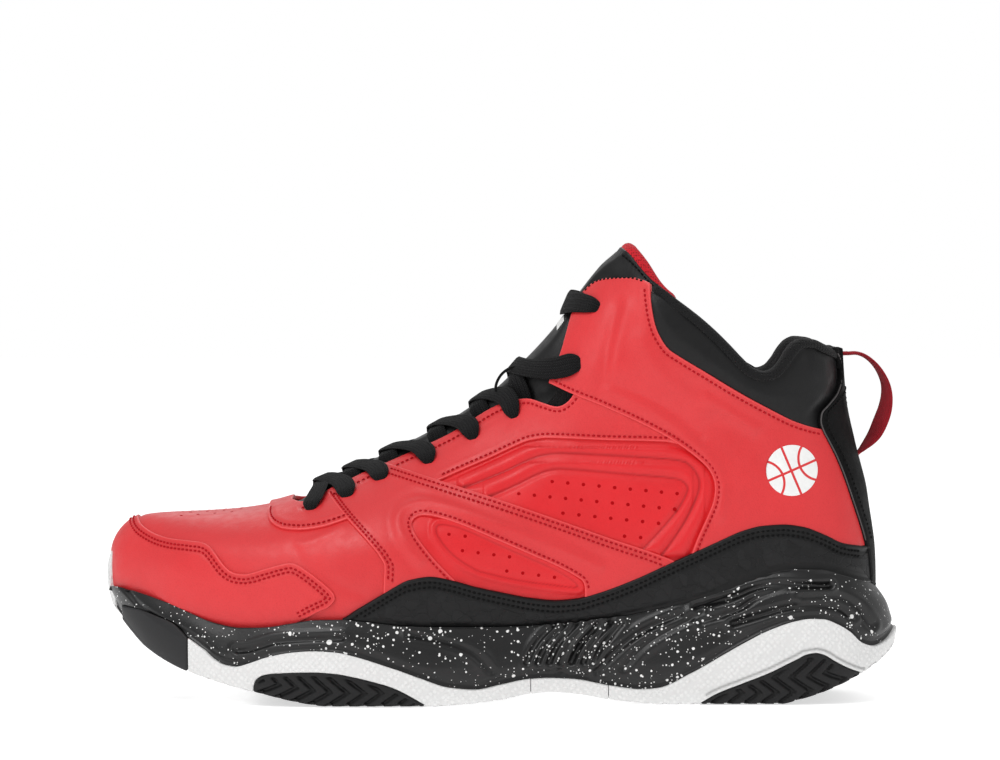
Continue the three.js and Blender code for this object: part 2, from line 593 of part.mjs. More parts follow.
function sidePanels(name, [y0, y1]) {
  const panel = (points) => base.intersect(prism(points, y0, y1));
  const forequarter = [
    ...upAlong(seamX, 30, 78, 10),
    [-67, 110],
    [-44.3, 110],
    ...along(bandZ, -44, 62, 16, -GAP),
    ...hemLine(62, -44.5, 14),
  ];
  const teardrop = panel(TEARDROP);
  const hole = prism([...beside(TEARDROP.slice(0, -2), GAP), [30.6, 36], [-18.8, 36]], y0, y1);
  add(`forequarter_${name}`, largest(laced(panel(forequarter).subtract(hole), [1, 2])), RED_LEATHER);
  add(`inset_lower_${name}`, largest(teardrop), RED_LEATHER);

  const eyestay = [
    [-44, 130],
    [8, 130],
    [20, 110.7],
    [24, 112.4],
    ...beside(REAR_EDGE.filter((p) => p[0] > 27 && p[1] > 97.2), -GAP),
    ...along(insetTopZ, 62, -24, 18, GAP),
    ...along(bandZ, -24, -44, 4),
  ];
  add(`eyestay_${name}`, largest(laced(panel(eyestay), [3, 4, 5])), RED_LEATHER);

  const inset = [
    ...along(insetTopZ, -24, 62, 16),
    ...beside(REAR_EDGE.filter((p) => p[1] < 98), -GAP),
    ...hemLine(71, 62.3, 2),
    ...along(bandZ, 62.3, -24, 14, 0),
  ];
  add(`inset_upper_${name}`, largest(panel(inset)), RED_LEATHER);

  const rear = [
    ...THROAT_TOP,
    [55.6, 156.3],
    [55.4, 147.7],
    ...along(collarSeamZ, 56, 120, 14, -GAP),
    ...upAlong(stripX, 102, 62, 8, 2),
    [138, 46],
    ...hemLine(137, 71.3, 10),
    ...[...REAR_EDGE].reverse(),
  ];
  add(`rear_quarter_${name}`, largest(laced(panel(rear), [6, 7])), RED_LEATHER);

  const collar = [
    ...along(collarZ, 56.5, 131, 30),
    ...upAlong(stripX, 125, 103, 8, 3),
    ...along(collarSeamZ, 120, 56, 14),
    [55.9, 148],
  ];
  const rolled = shell(0, COLLAR_LINING[0]).intersect(collarRim).intersect(prism([[84, 80], [84, 180], [170, 180], [170, 80]], y0, y1));
  add(`collar_panel_${name}`, largest(panel(collar).subtract(prismAbove(collarZ, 0)).add(rolled)), BLACK_LEATHER);

  const foxing = [
    ...along(foxingZ, -59, 134, 34),
    ...upAlong(stripX, 58, 46, 3, -GAP),
    ...overlayHem(136.5, -59),
  ];
  add(`foxing_${name}`, largest(overlay.intersect(prism(foxing, y0, y1))), BLACK_LEATHER);
  const emblem = asManifold(
    new THREE.CylinderGeometry(9, 9, HALF_SPAN, 14).translate(108, (y0 + y1) / 2, 0).applyMatrix4(
      new THREE.Matrix4().makeTranslation(0, 0, 88),
    ),
  );
  add(`side_emblem_${name}`, largest(shell(GAP + 0.5, GAP).intersect(emblem)), WHITE_PRINT);

  const stay = [
    [-66, 80],
    [-30, 110],
    [8, 122],
    [17.5, 107],
    ...along(throatZ, 14, -66, 12, -14),
  ];
  add(`eyelet_stay_${name}`, largest(laced(stiffener.intersect(prism(stay, y0, y1)), [1, 2, 3, 4, 5], 4)), STIFF_PLASTIC);
}

// Everything behind and round the ankle that crosses from one side to the other.
function heelAndCollar() {
  const strip = [
    ...upAlong(stripX, 46, 131, 26),
    [126.5, 131.5],
    [150, 131.5],
    ...overlayHem(150, 137),
  ];
  add("heel_strip", largest(overlay.intersect(prism(strip))), BLACK_LEATHER);
  const counter = [[92, 55], [100, 84], [112, 94], [150, 94], [150, 33], ...hemLine(139, 88, 8, 3.2)];
  add("heel_counter", largest(stiffener.intersect(prism(counter))), STIFF_PLASTIC);

  const FOAM_X = 84; // the padding starts behind the space that the tongue tilts into
  const pad = prism([[FOAM_X, 180], [150, 180], ...along(collarSeamZ, 150, FOAM_X, 12, -4)]).subtract(
    prismAbove(collarZ, -LEATHER - GAP),
  );
  add("collar_foam", largest(shell(COLLAR_FOAM[1], COLLAR_FOAM[0]).intersect(pad)), FOAM);
  add("collar_lining", largest(shell(COLLAR_LINING[1], COLLAR_LINING[0]).intersect(pad)), BLACK_MESH);
}

function lining() {
  const outline = [
    ...along(boardZ, -147, 136.5, 24, 6),
    ...upAlong(backX, 36, 92, 6, -2),
    ...along(collarSeamZ, 128, FOAM_START, 8, -4.5),
    ...along(collarZ, FOAM_START, 58, 6, -0.5),
    [54, 157.5],
    [47.5, 157.5],
    [47, 146],
    [44, 128],
    [32, 110],
    ...along(throatZ, 14, -72, 20, -15),
    [-79.3, 64],
    [-79.3, 120],
    [-160, 120],
    [-160, 40],
  ];
  add("vamp_lining", largest(shell(LINING[1], LINING[0]).intersect(prism(outline))), BLACK_MESH);
}
const FOAM_START = 83.6;

// ---------------------------------------------------------------- the tongue

const TONGUE_TOP = [[41, 176], [44.5, 172], [63, 153.5]];
const TONGUE_REAR = spline(
  [[63, 153.5], [56, 141], [46, 128], [35, 115], [22, 103], [5, 91], [-15, 81], [-40, 74], [-60, 69], [-77, 66]], 24,
);

function tongueBody(extra) {
  const offset = (x, u, side) => {
    const wide = Math.abs(bodyPoint(x, u, side, 0).y - middleY(x));
    const edge = throatHalf(clamp(x, -79, 60), side);
    return -lerp(TONGUE_CROWN, TONGUE_SINK, smoothstep(edge * 0.45, edge * 0.9, wide)) + extra;
  };
  offset.base = -TONGUE_SINK + extra;
  return bodySolid(offset, 0.38, 9);
}

function tongue() {
  const outline = (grow) => [
    [-79 - grow, 66], [-79 - grow, 100], [0, 176], ...beside(TONGUE_TOP, -grow), ...TONGUE_REAR.slice(1),
  ];
  const layer = (outer, inner, grow = 0) =>
    largest(tongueBody(outer).subtract(tongueBody(inner)).intersect(prism(outline(grow))));
  add("tongue_face", layer(0, -1), BLACK_LEATHER);
  add("tongue_foam", layer(-1.3, -5.3, -1), FOAM);
  add("tongue_lining", layer(-5.6, -6.7, 1.5), RED_MESH);
  const label = prism([[14, 139], [22, 150], [27, 146], [19, 135]]).intersect(box(-50, 60, -11, 14, 100, 180));
  add("tongue_label", largest(tongueBody(0.9).subtract(tongueBody(GAP)).intersect(label)), WHITE_PRINT);
}

// ---------------------------------------------------------------- the lace

// Eyelets, toe to ankle, in the side view.
const EYELETS = [
  [-72, 71], [-58, 75.8], [-45.5, 82], [-27.7, 88.8], [-11, 97.8], [4.5, 106], [30.3, 127], [37.3, 147.3],
];
const ROW_RIDGE_X = [-77, -64, -51, -34, -18, -3, 10, 26]; // where each row's line meets the ridge
const laceLift = curve([[-75, 3.5], [-58, 3.3], [-48, 2.9], [10, 2.7], [60, 2.2]]);
const LACE_UNDER = -5.4;

// The point of the body above or below (x, z) of the side view, and the outward normal there.
function skinPoint(x, z, side) {
  const b = body(0);
  const h = Math.min(z, b.roof(x));
  return new THREE.Vector3(x, middleY(x) + side * b.width(side, x, h), h);
}

function skinNormal(x, z, side) {
  const forward = skinPoint(x + 1, z, side).sub(skinPoint(x - 1, z, side));
  const upward = skinPoint(x, z, side).sub(skinPoint(x, z - 1.5, side));
  const n = forward.cross(upward).normalize();
  return n.y * side < 0 ? n.negate() : n;
}

// A flat band through points, with the normal of its face at each.
function band(points, normals, width, thick) {
  const widths = typeof width === "number" ? points.map(() => width) : width;
  const rings = points.map((p, i) => {
    const ahead = points[Math.min(points.length - 1, i + 1)];
    const behind = points[Math.max(0, i - 1)];
    const run = ahead.clone().sub(behind).normalize();
    const across = run.clone().cross(normals[i]).normalize();
    const up = across.clone().cross(run).normalize();
    return [[-0.5, -0.5], [0.5, -0.5], [0.5, 0.5], [-0.5, 0.5]].map(([w, h]) =>
      p.clone().addScaledVector(across, w * widths[i]).addScaledVector(up, h * thick),
    );
  });
  return loft(rings, true);
}

const SIDE_SIGN = { lateral: -1, medial: 1 };

function eyeletPlug(i, side, radius, sides) {
  const [x, z] = EYELETS[i];
  const n = skinNormal(x, z, side);
  const p = skinPoint(x, z, side);
  const [low, high] = [LACE_UNDER - LACE_THICK / 2 + 0.1, laceLift(x) + LACE_THICK / 2 - 0.1];
  const turn = new THREE.Quaternion().setFromUnitVectors(new THREE.Vector3(0, 1, 0), n);
  const g = new THREE.CylinderGeometry(radius, radius, high - low, sides).translate(0, (high + low) / 2, 0);
  return asManifold(g.applyQuaternion(turn).translate(p.x, p.y, p.z));
}

// The solid cut back to the throat's edges, with the holes of the given rows of eyelets.
function laced(solid, rows, sides = 6) {
  const plugs = rows.flatMap((i) => [-1, 1].map((side) => eyeletPlug(i, side, EYELET_R, sides)));
  return plugs.reduce((made, plug) => made.subtract(plug), solid.subtract(corridor));
}

// The share of the way from the ridge to eyelet i at which a lace passes the throat's edge.
function edgeShare(i, side) {
  let q = -1;
  const foot = ROW_RIDGE_X[i];
  for (; q < -0.3; q += 0.02) {
    const x = foot + q * q * (EYELETS[i][0] - foot);
    const z = ridgeZ(foot) + q * q * (EYELETS[i][1] - ridgeZ(foot));
    if (Math.abs(skinPoint(x, z, side).y - middleY(x)) < throatHalf(x, side)) break;
  }
  return q;
}

// A crossing: out from under the eyestay beside eyelet i, over the tongue, and over the other eyestay to eyelet j.
const HOP = 1.2; // lift of the lace that passes over the other where two cross
function crossing(i, j, fromSide) {
  const ends = [EYELETS[i], EYELETS[j]];
  const feet = [ROW_RIDGE_X[i], ROW_RIDGE_X[j]];
  const skin = [];
  const face = [];
  const lift = [];
  const e = i === j ? -0.6 : edgeShare(i, fromSide);
  for (const q of [-1, lerp(-1, e, 0.6), e, e * 0.8, e * 0.55, e * 0.3, 0, 0.33, 0.66, 1]) {
    const end = q < 0 ? 0 : 1;
    const side = q < 0 ? fromSide : -fromSide;
    const foot = lerp(feet[0], feet[1], (q + 1) / 2);
    const x = foot + q * q * (ends[end][0] - feet[end]);
    const z = ridgeZ(foot) + q * q * (ends[end][1] - ridgeZ(feet[end]));
    const p = skinPoint(x, z, side);
    const slope = (ridgeZ(foot + 1) - ridgeZ(foot - 1)) / 2;
    const ridgeNormal = new THREE.Vector3(-slope, 0, 1).normalize();
    const n = ridgeNormal.lerp(skinNormal(x, Math.min(z, body(0).roof(x) - 1), side), Math.abs(q)).normalize();
    const edge = throatHalf(x, side);
    const under = i === j || q > 0 ? 0 : smoothstep(edge * 0.4, edge, Math.abs(p.y - middleY(x)));
    skin.push(p);
    face.push(n);
    const hop = fromSide > 0 ? HOP * (1 - smoothstep(0, 0.5, Math.abs(q))) : 0;
    lift.push(hop + lerp(laceLift(x), LACE_UNDER, q === -1 && i !== j ? 1 : under));
  }
  const points = skin.map((p, k) => p.clone().addScaledVector(face[k], lift[k]));
  return band(points, face, LACE_WIDTH, LACE_THICK);
}

// Inside the shoe: from one eyelet to the next, and from the last ones down to the tips.
const TAILS = {
  lateral: [EYELETS[5], [9, 100], [12, 92], [14, 84]],
  medial: [EYELETS[7], [38.5, 140], [38.5, 126], [36.5, 110]],
};
const AGLET_DEPTH = -7.2;
const AGLETS = { lateral: [[14.1, 83.6], [17, 64]], medial: [[36.4, 109.6], [34.5, 90]] };

function insideBand(path, side, width, thick, depth = LACE_UNDER) {
  const pts = spline(path, 6);
  const normals = pts.map(([x, z]) => skinNormal(x, z, side));
  const points = pts.map(([x, z], i) => skinPoint(x, z, side).addScaledVector(normals[i], depth));
  return band(points, normals, width, thick);
}

function lace() {
  const pieces = [0, 6, 7].map((i) => crossing(i, i, -1));
  for (let i = 0; i < 5; i++) for (const side of [-1, 1]) pieces.push(crossing(i, i + 1, side));
  pieces.push(insideBand([EYELETS[5], [18, 116], EYELETS[6]], 1, 4, LACE_THICK));
  pieces.push(insideBand([EYELETS[6], [34, 137], EYELETS[7]], -1, 4, LACE_THICK));
  for (const [name, side] of Object.entries(SIDE_SIGN)) {
    for (let i = 0; i < EYELETS.length; i++) pieces.push(eyeletPlug(i, side, EYELET_R - 1, 4));
    pieces.push(insideBand(TAILS[name], side, 4, LACE_THICK));
    add(`aglet_${name}`, insideBand(AGLETS[name], side, AGLET_R * 2, AGLET_R, AGLET_DEPTH), LACE_TIP);
  }
  add("lace", largest(unite(pieces)), BLACK_WEBBING);
}

// ---------------------------------------------------------------- the pull loop

const LOOP_PATH = [
  [131.9, 131], [134.6, 131.4], [138.2, 130], [142, 126.2], [144.8, 121], [145.8, 115.5], [145.2, 109.5],
  [143.3, 104], [140.8, 99.3], [137.1, 94.9],
];

function pullLoop() {
  const path = spline(LOOP_PATH, 18);
  const points = path.map(([x, z]) => new THREE.Vector3(x, -1, z));
  const normals = path.map((p, i) => {
    const a = path[Math.max(0, i - 1)];
    const b = path[Math.min(path.length - 1, i + 1)];
    return new THREE.Vector3(-(b[1] - a[1]), 0, b[0] - a[0]).normalize();
  });
  const widths = path.map((_, i) => lerp(1.6, LOOP_WIDTH, Math.sin((Math.PI * i) / (path.length - 1)) ** 0.6));
  add("pull_loop", band(points, normals, widths, LOOP_THICK), RED_WEBBING);
  const anchor = (x0, x1, z0, z1) =>
    largest(box(x0, x1, -6, 4, z0, z1).subtract(offsetBody(GAP + OVERLAY + GAP)));
  add("loop_end_top", anchor(125, 130.7, 129.2, 131.5), RED_WEBBING);
  add("loop_end_bottom", anchor(130, 135.6, 91.5, 94.2), RED_WEBBING);
}

// ---------------------------------------------------------------- build

outsole();
midsole();
footbed();
vamp();
for (const [name, range] of SIDES) sidePanels(name, range);
heelAndCollar();
lining();
tongue();
lace();
pullLoop();

export default parts;
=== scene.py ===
"""A basketball high top for the left foot: the visual model on the part's CAD frame.

Lengths are in millimetres until a mesh is made. The toe points along -X, the outer (lateral) side is -Y and
up is +Z. The upper's pieces are cut from one dense surface, the skin, along outlines drawn in the side view
(x, z). They are raised over each other along its normals. The sole's pieces are cut from a second surface.
"""

import math

import bmesh
import bpy
import numpy as np
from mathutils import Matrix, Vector


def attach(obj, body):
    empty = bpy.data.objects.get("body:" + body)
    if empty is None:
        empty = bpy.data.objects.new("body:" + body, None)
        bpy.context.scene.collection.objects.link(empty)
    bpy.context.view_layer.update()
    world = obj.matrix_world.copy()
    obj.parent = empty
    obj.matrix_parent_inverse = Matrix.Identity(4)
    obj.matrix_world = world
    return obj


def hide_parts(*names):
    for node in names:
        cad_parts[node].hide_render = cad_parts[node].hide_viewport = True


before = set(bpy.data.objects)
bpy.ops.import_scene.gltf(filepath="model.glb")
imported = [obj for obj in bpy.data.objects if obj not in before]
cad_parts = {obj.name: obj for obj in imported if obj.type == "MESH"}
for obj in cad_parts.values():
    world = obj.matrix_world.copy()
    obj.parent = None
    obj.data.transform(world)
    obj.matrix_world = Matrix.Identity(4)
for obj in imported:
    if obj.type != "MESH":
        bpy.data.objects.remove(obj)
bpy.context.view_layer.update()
MM = 0.001

# ---------------------------------------------------------------- curves


def curve(points):
    """A smooth function through the points (v, value), without overshoot, flat beyond its ends."""
    x, y = np.array(points, float).T
    slope = np.diff(y) / np.diff(x)
    a, b = slope[:-1], slope[1:]
    inner = np.where(a * b <= 0, 0.0, 2 * a * b / np.where(a + b == 0, 1, a + b))
    tangent = np.concatenate([slope[:1], inner, slope[-1:]])

    def value(v):
        v = np.clip(np.asarray(v, float), x[0], x[-1])
        i = np.clip(np.searchsorted(x, v, side="right") - 1, 0, len(x) - 2)
        h = x[i + 1] - x[i]
        s = (v - x[i]) / h
        return (
            y[i] * (2 * s**3 - 3 * s**2 + 1)
            + tangent[i] * h * (s**3 - 2 * s**2 + s)
            + y[i + 1] * (3 * s**2 - 2 * s**3)
            + tangent[i + 1] * h * (s**3 - s**2)
        )

    return value


def smoothstep(low, high, v):
    k = np.clip((v - low) / (high - low), 0, 1)
    return k * k * (3 - 2 * k)


def lerp(a, b, k):
    return a + (b - a) * k


def closure(distance, radius, power):
    """Rounds a half-width off to 0 over the last `radius` before an edge, as a superellipse does."""
    return (1 - (1 - np.clip(distance / radius, 0, 1)) ** power) ** (1 / power)


def spline(points, step=1.0):
    """Points about `step` apart on a smooth line through the given points."""
    p = np.array(points, float)
    ends = np.vstack([2 * p[0] - p[1], p, 2 * p[-1] - p[-2]])
    made = []
    for a, b, c, d in zip(ends[:-3], ends[1:-2], ends[2:-1], ends[3:]):
        n = max(1, int(round(np.linalg.norm(c - b) / step)))
        square, cube = 2 * a - 5 * b + 4 * c - d, 3 * b - a - 3 * c + d
        for t in np.arange(n) / n:
            made.append(0.5 * (2 * b + (c - a) * t + square * t**2 + cube * t**3))
    return np.array(made + [p[-1]])


def unit(vectors, least=0.0):
    """Each row scaled to length 1."""
    return vectors / (np.linalg.norm(vectors, axis=-1)[..., None] + least)


def travelled(points):
    """How far each point lies along a line of points."""
    return np.concatenate([[0], np.cumsum(np.linalg.norm(np.diff(points, axis=0), axis=1))])


def bell(distance, width):
    """A smooth bump: 1 at distance 0, fading over `width`."""
    return np.exp(-((distance / width) ** 2))


def along(f, x0, x1, dz=0.0, step=1.0):
    """A side-view line along z = f(x), moved by dz."""
    x = np.linspace(x0, x1, max(2, int(abs(x1 - x0) / step) + 1))
    return np.column_stack([x, f(x) + dz])


def up_along(f, z0, z1, dx=0.0, step=1.0):
    """A side-view line along x = f(z), moved by dx."""
    z = np.linspace(z0, z1, max(2, int(abs(z1 - z0) / step) + 1))
    return np.column_stack([f(z) + dx, z])


def chain(*lines):
    """One line through several lines or lists of points."""
    return np.vstack([np.atleast_2d(np.array(line, float)) for line in lines])


def beside(path, by):
    """The line that lies `by` to the left of a path in the side view."""
    run = unit(np.gradient(np.asarray(path, float), axis=0), 1e-12)
    return path + by * np.column_stack([-run[:, 1], run[:, 0]])


# ---------------------------------------------------------------- the last body

TOE_X, HEEL_X, CONE_TOP = -148.8, 139.8, 180.0
ridge_z = curve([
    (-148.8, 50), (-148.4, 55.5), (-147.3, 59), (-145.5, 62), (-143, 64.7), (-140, 66.8), (-136, 68.6),
    (-130, 69.3), (-110, 70.3), (-100, 71.1), (-90, 72.6), (-80, 75.2), (-70, 78.6), (-60, 83),
    (-50, 87.7), (-40, 92.5), (-30, 97.5), (-20, 103), (-10, 109.5), (0, 117), (10, 128), (20, 140.5),
    (30, 155), (38, 165), (44, 172), (60, 194), (80, 222),
])
back_x = curve([
    (35, 139.8), (50, 139.6), (58, 139.2), (65, 138.3), (72, 137.2), (80, 136), (88, 134), (94, 132.4),
    (100, 131), (107, 129.4), (113, 128.4), (125, 127.4), (140, 126.6), (180, 125),
])
board_z = curve([
    (-148, 38), (-135, 33), (-120, 28), (-100, 23.5), (-80, 21.5), (-60, 21), (-30, 22), (0, 24),
    (40, 27), (80, 29), (110, 30), (138, 31),
])
middle_y = curve([
    (-149, 11), (-120, 9), (-100, 8), (-60, 6), (-20, 4), (20, 1.5), (50, 0), (100, -1), (140, -1),
])
lateral_width = curve([
    (-149, 34), (-143, 34), (-120, 42.5), (-100, 47.5), (-80, 52), (-60, 54), (-40, 53.5), (-20, 50.5),
    (0, 46.5), (20, 42.5), (40, 39.8), (60, 37.8), (80, 36.4), (100, 35.2), (140, 34),
])
medial_width = curve([
    (-149, 32), (-143, 34.5), (-120, 37.5), (-100, 38.8), (-80, 40), (-60, 40), (-40, 38.2), (-20, 35.3),
    (0, 33), (20, 32), (40, 32.2), (60, 33), (80, 33.8), (100, 34), (140, 34),
])
shaft_width = curve([(55, 33), (100, 31.5), (112, 32), (128, 34), (150, 33.5), (185, 32)])
crown_depth = curve([
    (-149, 12), (-140, 21), (-120, 24), (-90, 28), (-60, 38), (-30, 48), (0, 58), (44, 56), (80, 50),
])
crown_power = curve([(-149, 2.2), (-120, 2.4), (-60, 2.4), (-10, 2.4), (20, 2.2), (60, 2)])
widest_z = curve([(-149, 50), (-120, 46), (-60, 45), (0, 50), (60, 56), (140, 60)])
BACK_SAMPLES = np.linspace(35, CONE_TOP, 900)


def roof_z(x):
    back = np.interp(-np.asarray(x, float), -back_x(BACK_SAMPLES), BACK_SAMPLES)
    back = np.where(x <= back_x(CONE_TOP), CONE_TOP, back)
    return np.maximum(board_z(x) + 0.5, np.minimum(np.minimum(ridge_z(x), back), CONE_TOP))


def half_width(side, x, z):
    foot = np.where(side < 0, lateral_width(x), medial_width(x))
    plan = lerp(foot, shaft_width(z), smoothstep(55, 110, z))
    low = np.clip((widest_z(x) - z) / (widest_z(x) - board_z(x)), 0, 1)
    return (
        plan
        * closure(x - TOE_X, 62, 2.1)
        * closure(ridge_z(x) - z, crown_depth(x), crown_power(x))
        * closure(back_x(z) - x, 34, 2.2)
        * (1 - 0.12 * low**3)
    )


def skin_point(x, z, side):
    x, z, side = np.broadcast_arrays(np.asarray(x, float), z, side)
    z = np.minimum(z, roof_z(x))
    return np.stack([x, middle_y(x) + side * half_width(side, x, z), z], axis=-1)


def skin_normal(x, z, side):
    x, z, side = np.broadcast_arrays(np.asarray(x, float), z, side)
    e = 0.15
    z = np.clip(z, board_z(x) + e, roof_z(x) - e)
    wx = (half_width(side, x + e, z) - half_width(side, x - e, z)) / (2 * e)
    wz = (half_width(side, x, z + e) - half_width(side, x, z - e)) / (2 * e)
    turn = (middle_y(x + e) - middle_y(x - e)) / (2 * e)
    n = np.stack([-wx - side * turn, side * np.ones_like(wx), -wz], axis=-1)
    return unit(n)


# ---------------------------------------------------------------- surfaces and pieces cut from them


class Surface:
    """Triangles with a normal and a side (-1 lateral, 1 medial) for each vertex."""

    def __init__(self, grids):
        points, tris, side, start = [], [], [], 0
        for grid, sign in grids:
            n, m = grid.shape[:2]
            i = start + np.arange(n * m).reshape(n, m)
            a, b, c, d = i[:-1, :-1].ravel(), i[1:, :-1].ravel(), i[1:, 1:].ravel(), i[:-1, 1:].ravel()
            quads = np.concatenate([np.column_stack([a, b, c]), np.column_stack([a, c, d])])
            tris.append(quads if sign < 0 else quads[:, ::-1])
            points.append(grid.reshape(-1, 3))
            side.append(np.full(n * m, float(sign)))
            start += n * m
        self.points, self.side = np.concatenate(points), np.concatenate(side)
        self.tris = np.concatenate(tris)
        self.normals = self.smooth_normals()

    def smooth_normals(self):
        p, t = self.points, self.tris
        face = np.cross(p[t[:, 1]] - p[t[:, 0]], p[t[:, 2]] - p[t[:, 0]])
        _, same = np.unique(np.round(p, 3), axis=0, return_inverse=True)
        same = same.ravel()
        total = np.zeros((same.max() + 1, 3))
        for k in range(3):
            np.add.at(total, same[t[:, k]], face)
        return unit(total[same], 1e-12)


def skin_grid(stations, levels, side, x0=TOE_X, x1=HEEL_X, low=0.0, even=False):
    angle = np.linspace(0, math.pi, stations)
    share = np.linspace(0, 1, stations) if even else (1 - np.cos(angle)) / 2
    x = lerp(x0, x1, share)[:, None]
    u = np.linspace(low, 1, levels)[None, :]
    z = lerp(board_z(x), roof_z(x), np.sin(u * math.pi / 2))
    x, z = np.broadcast_arrays(x, z)
    return skin_point(x, z, side)


SKIN = Surface([(skin_grid(440, 160, s), s) for s in (-1, 1)])
FINE = Surface([(skin_grid(300, 300, s, -48, 84, even=True), s) for s in (-1, 1)])


def outline_distance(xz, outline):
    """How far each point lies inside a closed outline (outside is below 0), and the direction of growth."""
    outline = np.asarray(outline, float)
    found = np.full(len(xz), -9.0)
    grow = np.zeros((len(xz), 2))
    low, high = outline.min(axis=0) - 2, outline.max(axis=0) + 2
    near = np.flatnonzero(((xz > low) & (xz < high)).all(axis=1))
    a, b = outline, np.roll(outline, -1, axis=0)
    keep = np.linalg.norm(b - a, axis=1) > 1e-9
    a, b = a[keep], b[keep]
    run = b - a
    length = (run**2).sum(axis=1)
    for part in np.array_split(near, max(1, len(near) // 8000)):
        p = xz[part][:, None, :]
        t = np.clip(((p - a) * run).sum(axis=2) / length, 0, 1)
        gap = p - (a + t[:, :, None] * run)
        d2 = (gap**2).sum(axis=2)
        k = d2.argmin(axis=1)
        row = np.arange(len(part))
        d = np.sqrt(d2[row, k])
        crosses = (a[:, 1] > p[:, :, 1]) != (b[:, 1] > p[:, :, 1])
        rise = np.where(run[:, 1] == 0, 1e-12, run[:, 1])
        at = a[:, 0] + (p[:, :, 1] - a[:, 1]) * run[:, 0] / rise
        inside = ((crosses & (p[:, :, 0] < at)).sum(axis=1) % 2) == 1
        sign = np.where(inside, 1.0, -1.0)
        found[part] = d * sign
        grow[part] = gap[row, k] / (d[:, None] + 1e-9) * sign[:, None]
    return found, grow


def over_surface(distance, grow, normals):
    """Turns a distance in the side view into one along the surface."""
    tilt = normals[:, 0] * grow[:, 0] + normals[:, 2] * grow[:, 1]
    return distance / np.sqrt(np.maximum(0.05, 1 - tilt**2))


def inside(surface, outline, holes=()):
    """The distance inside an outline and outside its holes, along the surface."""
    xz = surface.points[:, [0, 2]]
    found = over_surface(*outline_distance(xz, outline), surface.normals)
    for hole in holes:
        found = np.minimum(found, -over_surface(*outline_distance(xz, hole), surface.normals))
    return found


def line_distance(xz, path):
    """How far each point lies from an open line in the side view."""
    path = np.asarray(path, float)
    a, run = path[:-1], np.diff(path, axis=0)
    found = np.full(len(xz), 1e9)
    for p, r in zip(a, run):
        t = np.clip(((xz - p) @ r) / (r @ r + 1e-12), 0, 1)
        found = np.minimum(found, np.hypot(*(xz - p - t[:, None] * r).T))
    return found


def split(rows, tris, column, level):
    """Cuts the triangles that cross a level of one column of the vertex rows."""
    v = rows[:, column] - level
    v = np.where(np.abs(v) < 1e-5, 0.0, v)
    t = v[tris]
    mixed = (t.max(axis=1) > 0) & (t.min(axis=1) < 0)
    cut = tris[mixed]
    if not len(cut):
        return rows, tris
    above = v[cut] > 0
    odd = np.where(above.sum(axis=1) == 1, above.argmax(axis=1), (~above).argmax(axis=1))
    r = np.arange(len(cut))
    p, q, s = cut[r, odd], cut[r, (odd + 1) % 3], cut[r, (odd + 2) % 3]
    pairs = np.sort(np.concatenate([np.column_stack([p, q]), np.column_stack([p, s])]), axis=1)
    unique, back = np.unique(pairs, axis=0, return_inverse=True)
    back = back.ravel()
    va, vb = v[unique[:, 0]], v[unique[:, 1]]
    k = (va / (va - vb))[:, None]
    made = rows[unique[:, 0]] * (1 - k) + rows[unique[:, 1]] * k
    made[:, column] = level
    pq, ps = len(rows) + back[: len(cut)], len(rows) + back[len(cut) :]
    thirds = [np.column_stack(corners) for corners in ((p, pq, ps), (pq, q, s), (pq, s, ps))]
    return np.vstack([rows, made]), np.concatenate([tris[~mixed], *thirds])


def cut_piece(surface, inner, height, rim=-0.9, bevel=0.55, sides=(-1, 1), relief=None, flip=False):
    """The part of a surface where `inner` is above 0, raised along the normals and rounded at its edge."""
    rows = np.column_stack([surface.points, surface.normals, surface.side, inner])
    tris = surface.tris[(inner[surface.tris] > -0.2).any(axis=1)]
    tris = tris[np.isin(surface.side[tris[:, 0]], sides)]
    for level in (0.0, 0.13 * bevel, 0.45 * bevel, bevel):
        rows, tris = split(rows, tris, 7, level)
    tris = tris[rows[tris, 7].mean(axis=1) > 1e-7]
    used, again = np.unique(tris, return_inverse=True)
    rows, tris = rows[used], again.reshape(-1, 3)
    p, side, depth = rows[:, :3], rows[:, 6], rows[:, 7]
    n = unit(rows[:, 3:6], 1e-12)
    round_off = bevel * (1 - np.sqrt(np.maximum(0, 1 - (1 - np.clip(depth / bevel, 0, 1)) ** 2)))
    raised = np.full(len(p), float(height)) - round_off
    shade = np.zeros(len(p))
    if relief is not None:
        lift, shade = relief(p, side, depth)
        raised = raised + lift
    top = p + n * raised[:, None]
    edges = np.concatenate([tris[:, [0, 1]], tris[:, [1, 2]], tris[:, [2, 0]]])
    key = np.sort(edges, axis=1)
    _, first, count = np.unique(key, axis=0, return_index=True, return_counts=True)
    border = edges[first[count == 1]]
    border = border[(depth[border] < 1e-6).all(axis=1)]
    feet, foot_of = np.unique(border, return_inverse=True)
    foot_of = foot_of.reshape(-1, 2) + len(top)
    below = p[feet] + n[feet] * rim
    a, b, fa, fb = border[:, 0], border[:, 1], foot_of[:, 0], foot_of[:, 1]
    skirt = np.concatenate([np.column_stack([b, a, fa]), np.column_stack([b, fa, fb])])
    points = np.vstack([top, below])
    faces = np.concatenate([tris, skirt])
    shade = np.concatenate([shade, np.zeros(len(below))])
    depth = np.concatenate([depth, np.zeros(len(below))])
    return points, (faces[:, ::-1] if flip else faces), np.column_stack([shade, depth])


# ---------------------------------------------------------------- pieces


def place(obj, material, body="shoe", nodes=()):
    obj.data.materials.clear()
    obj.data.materials.append(material)
    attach(obj, body)
    if nodes:
        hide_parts(*nodes)
    return obj


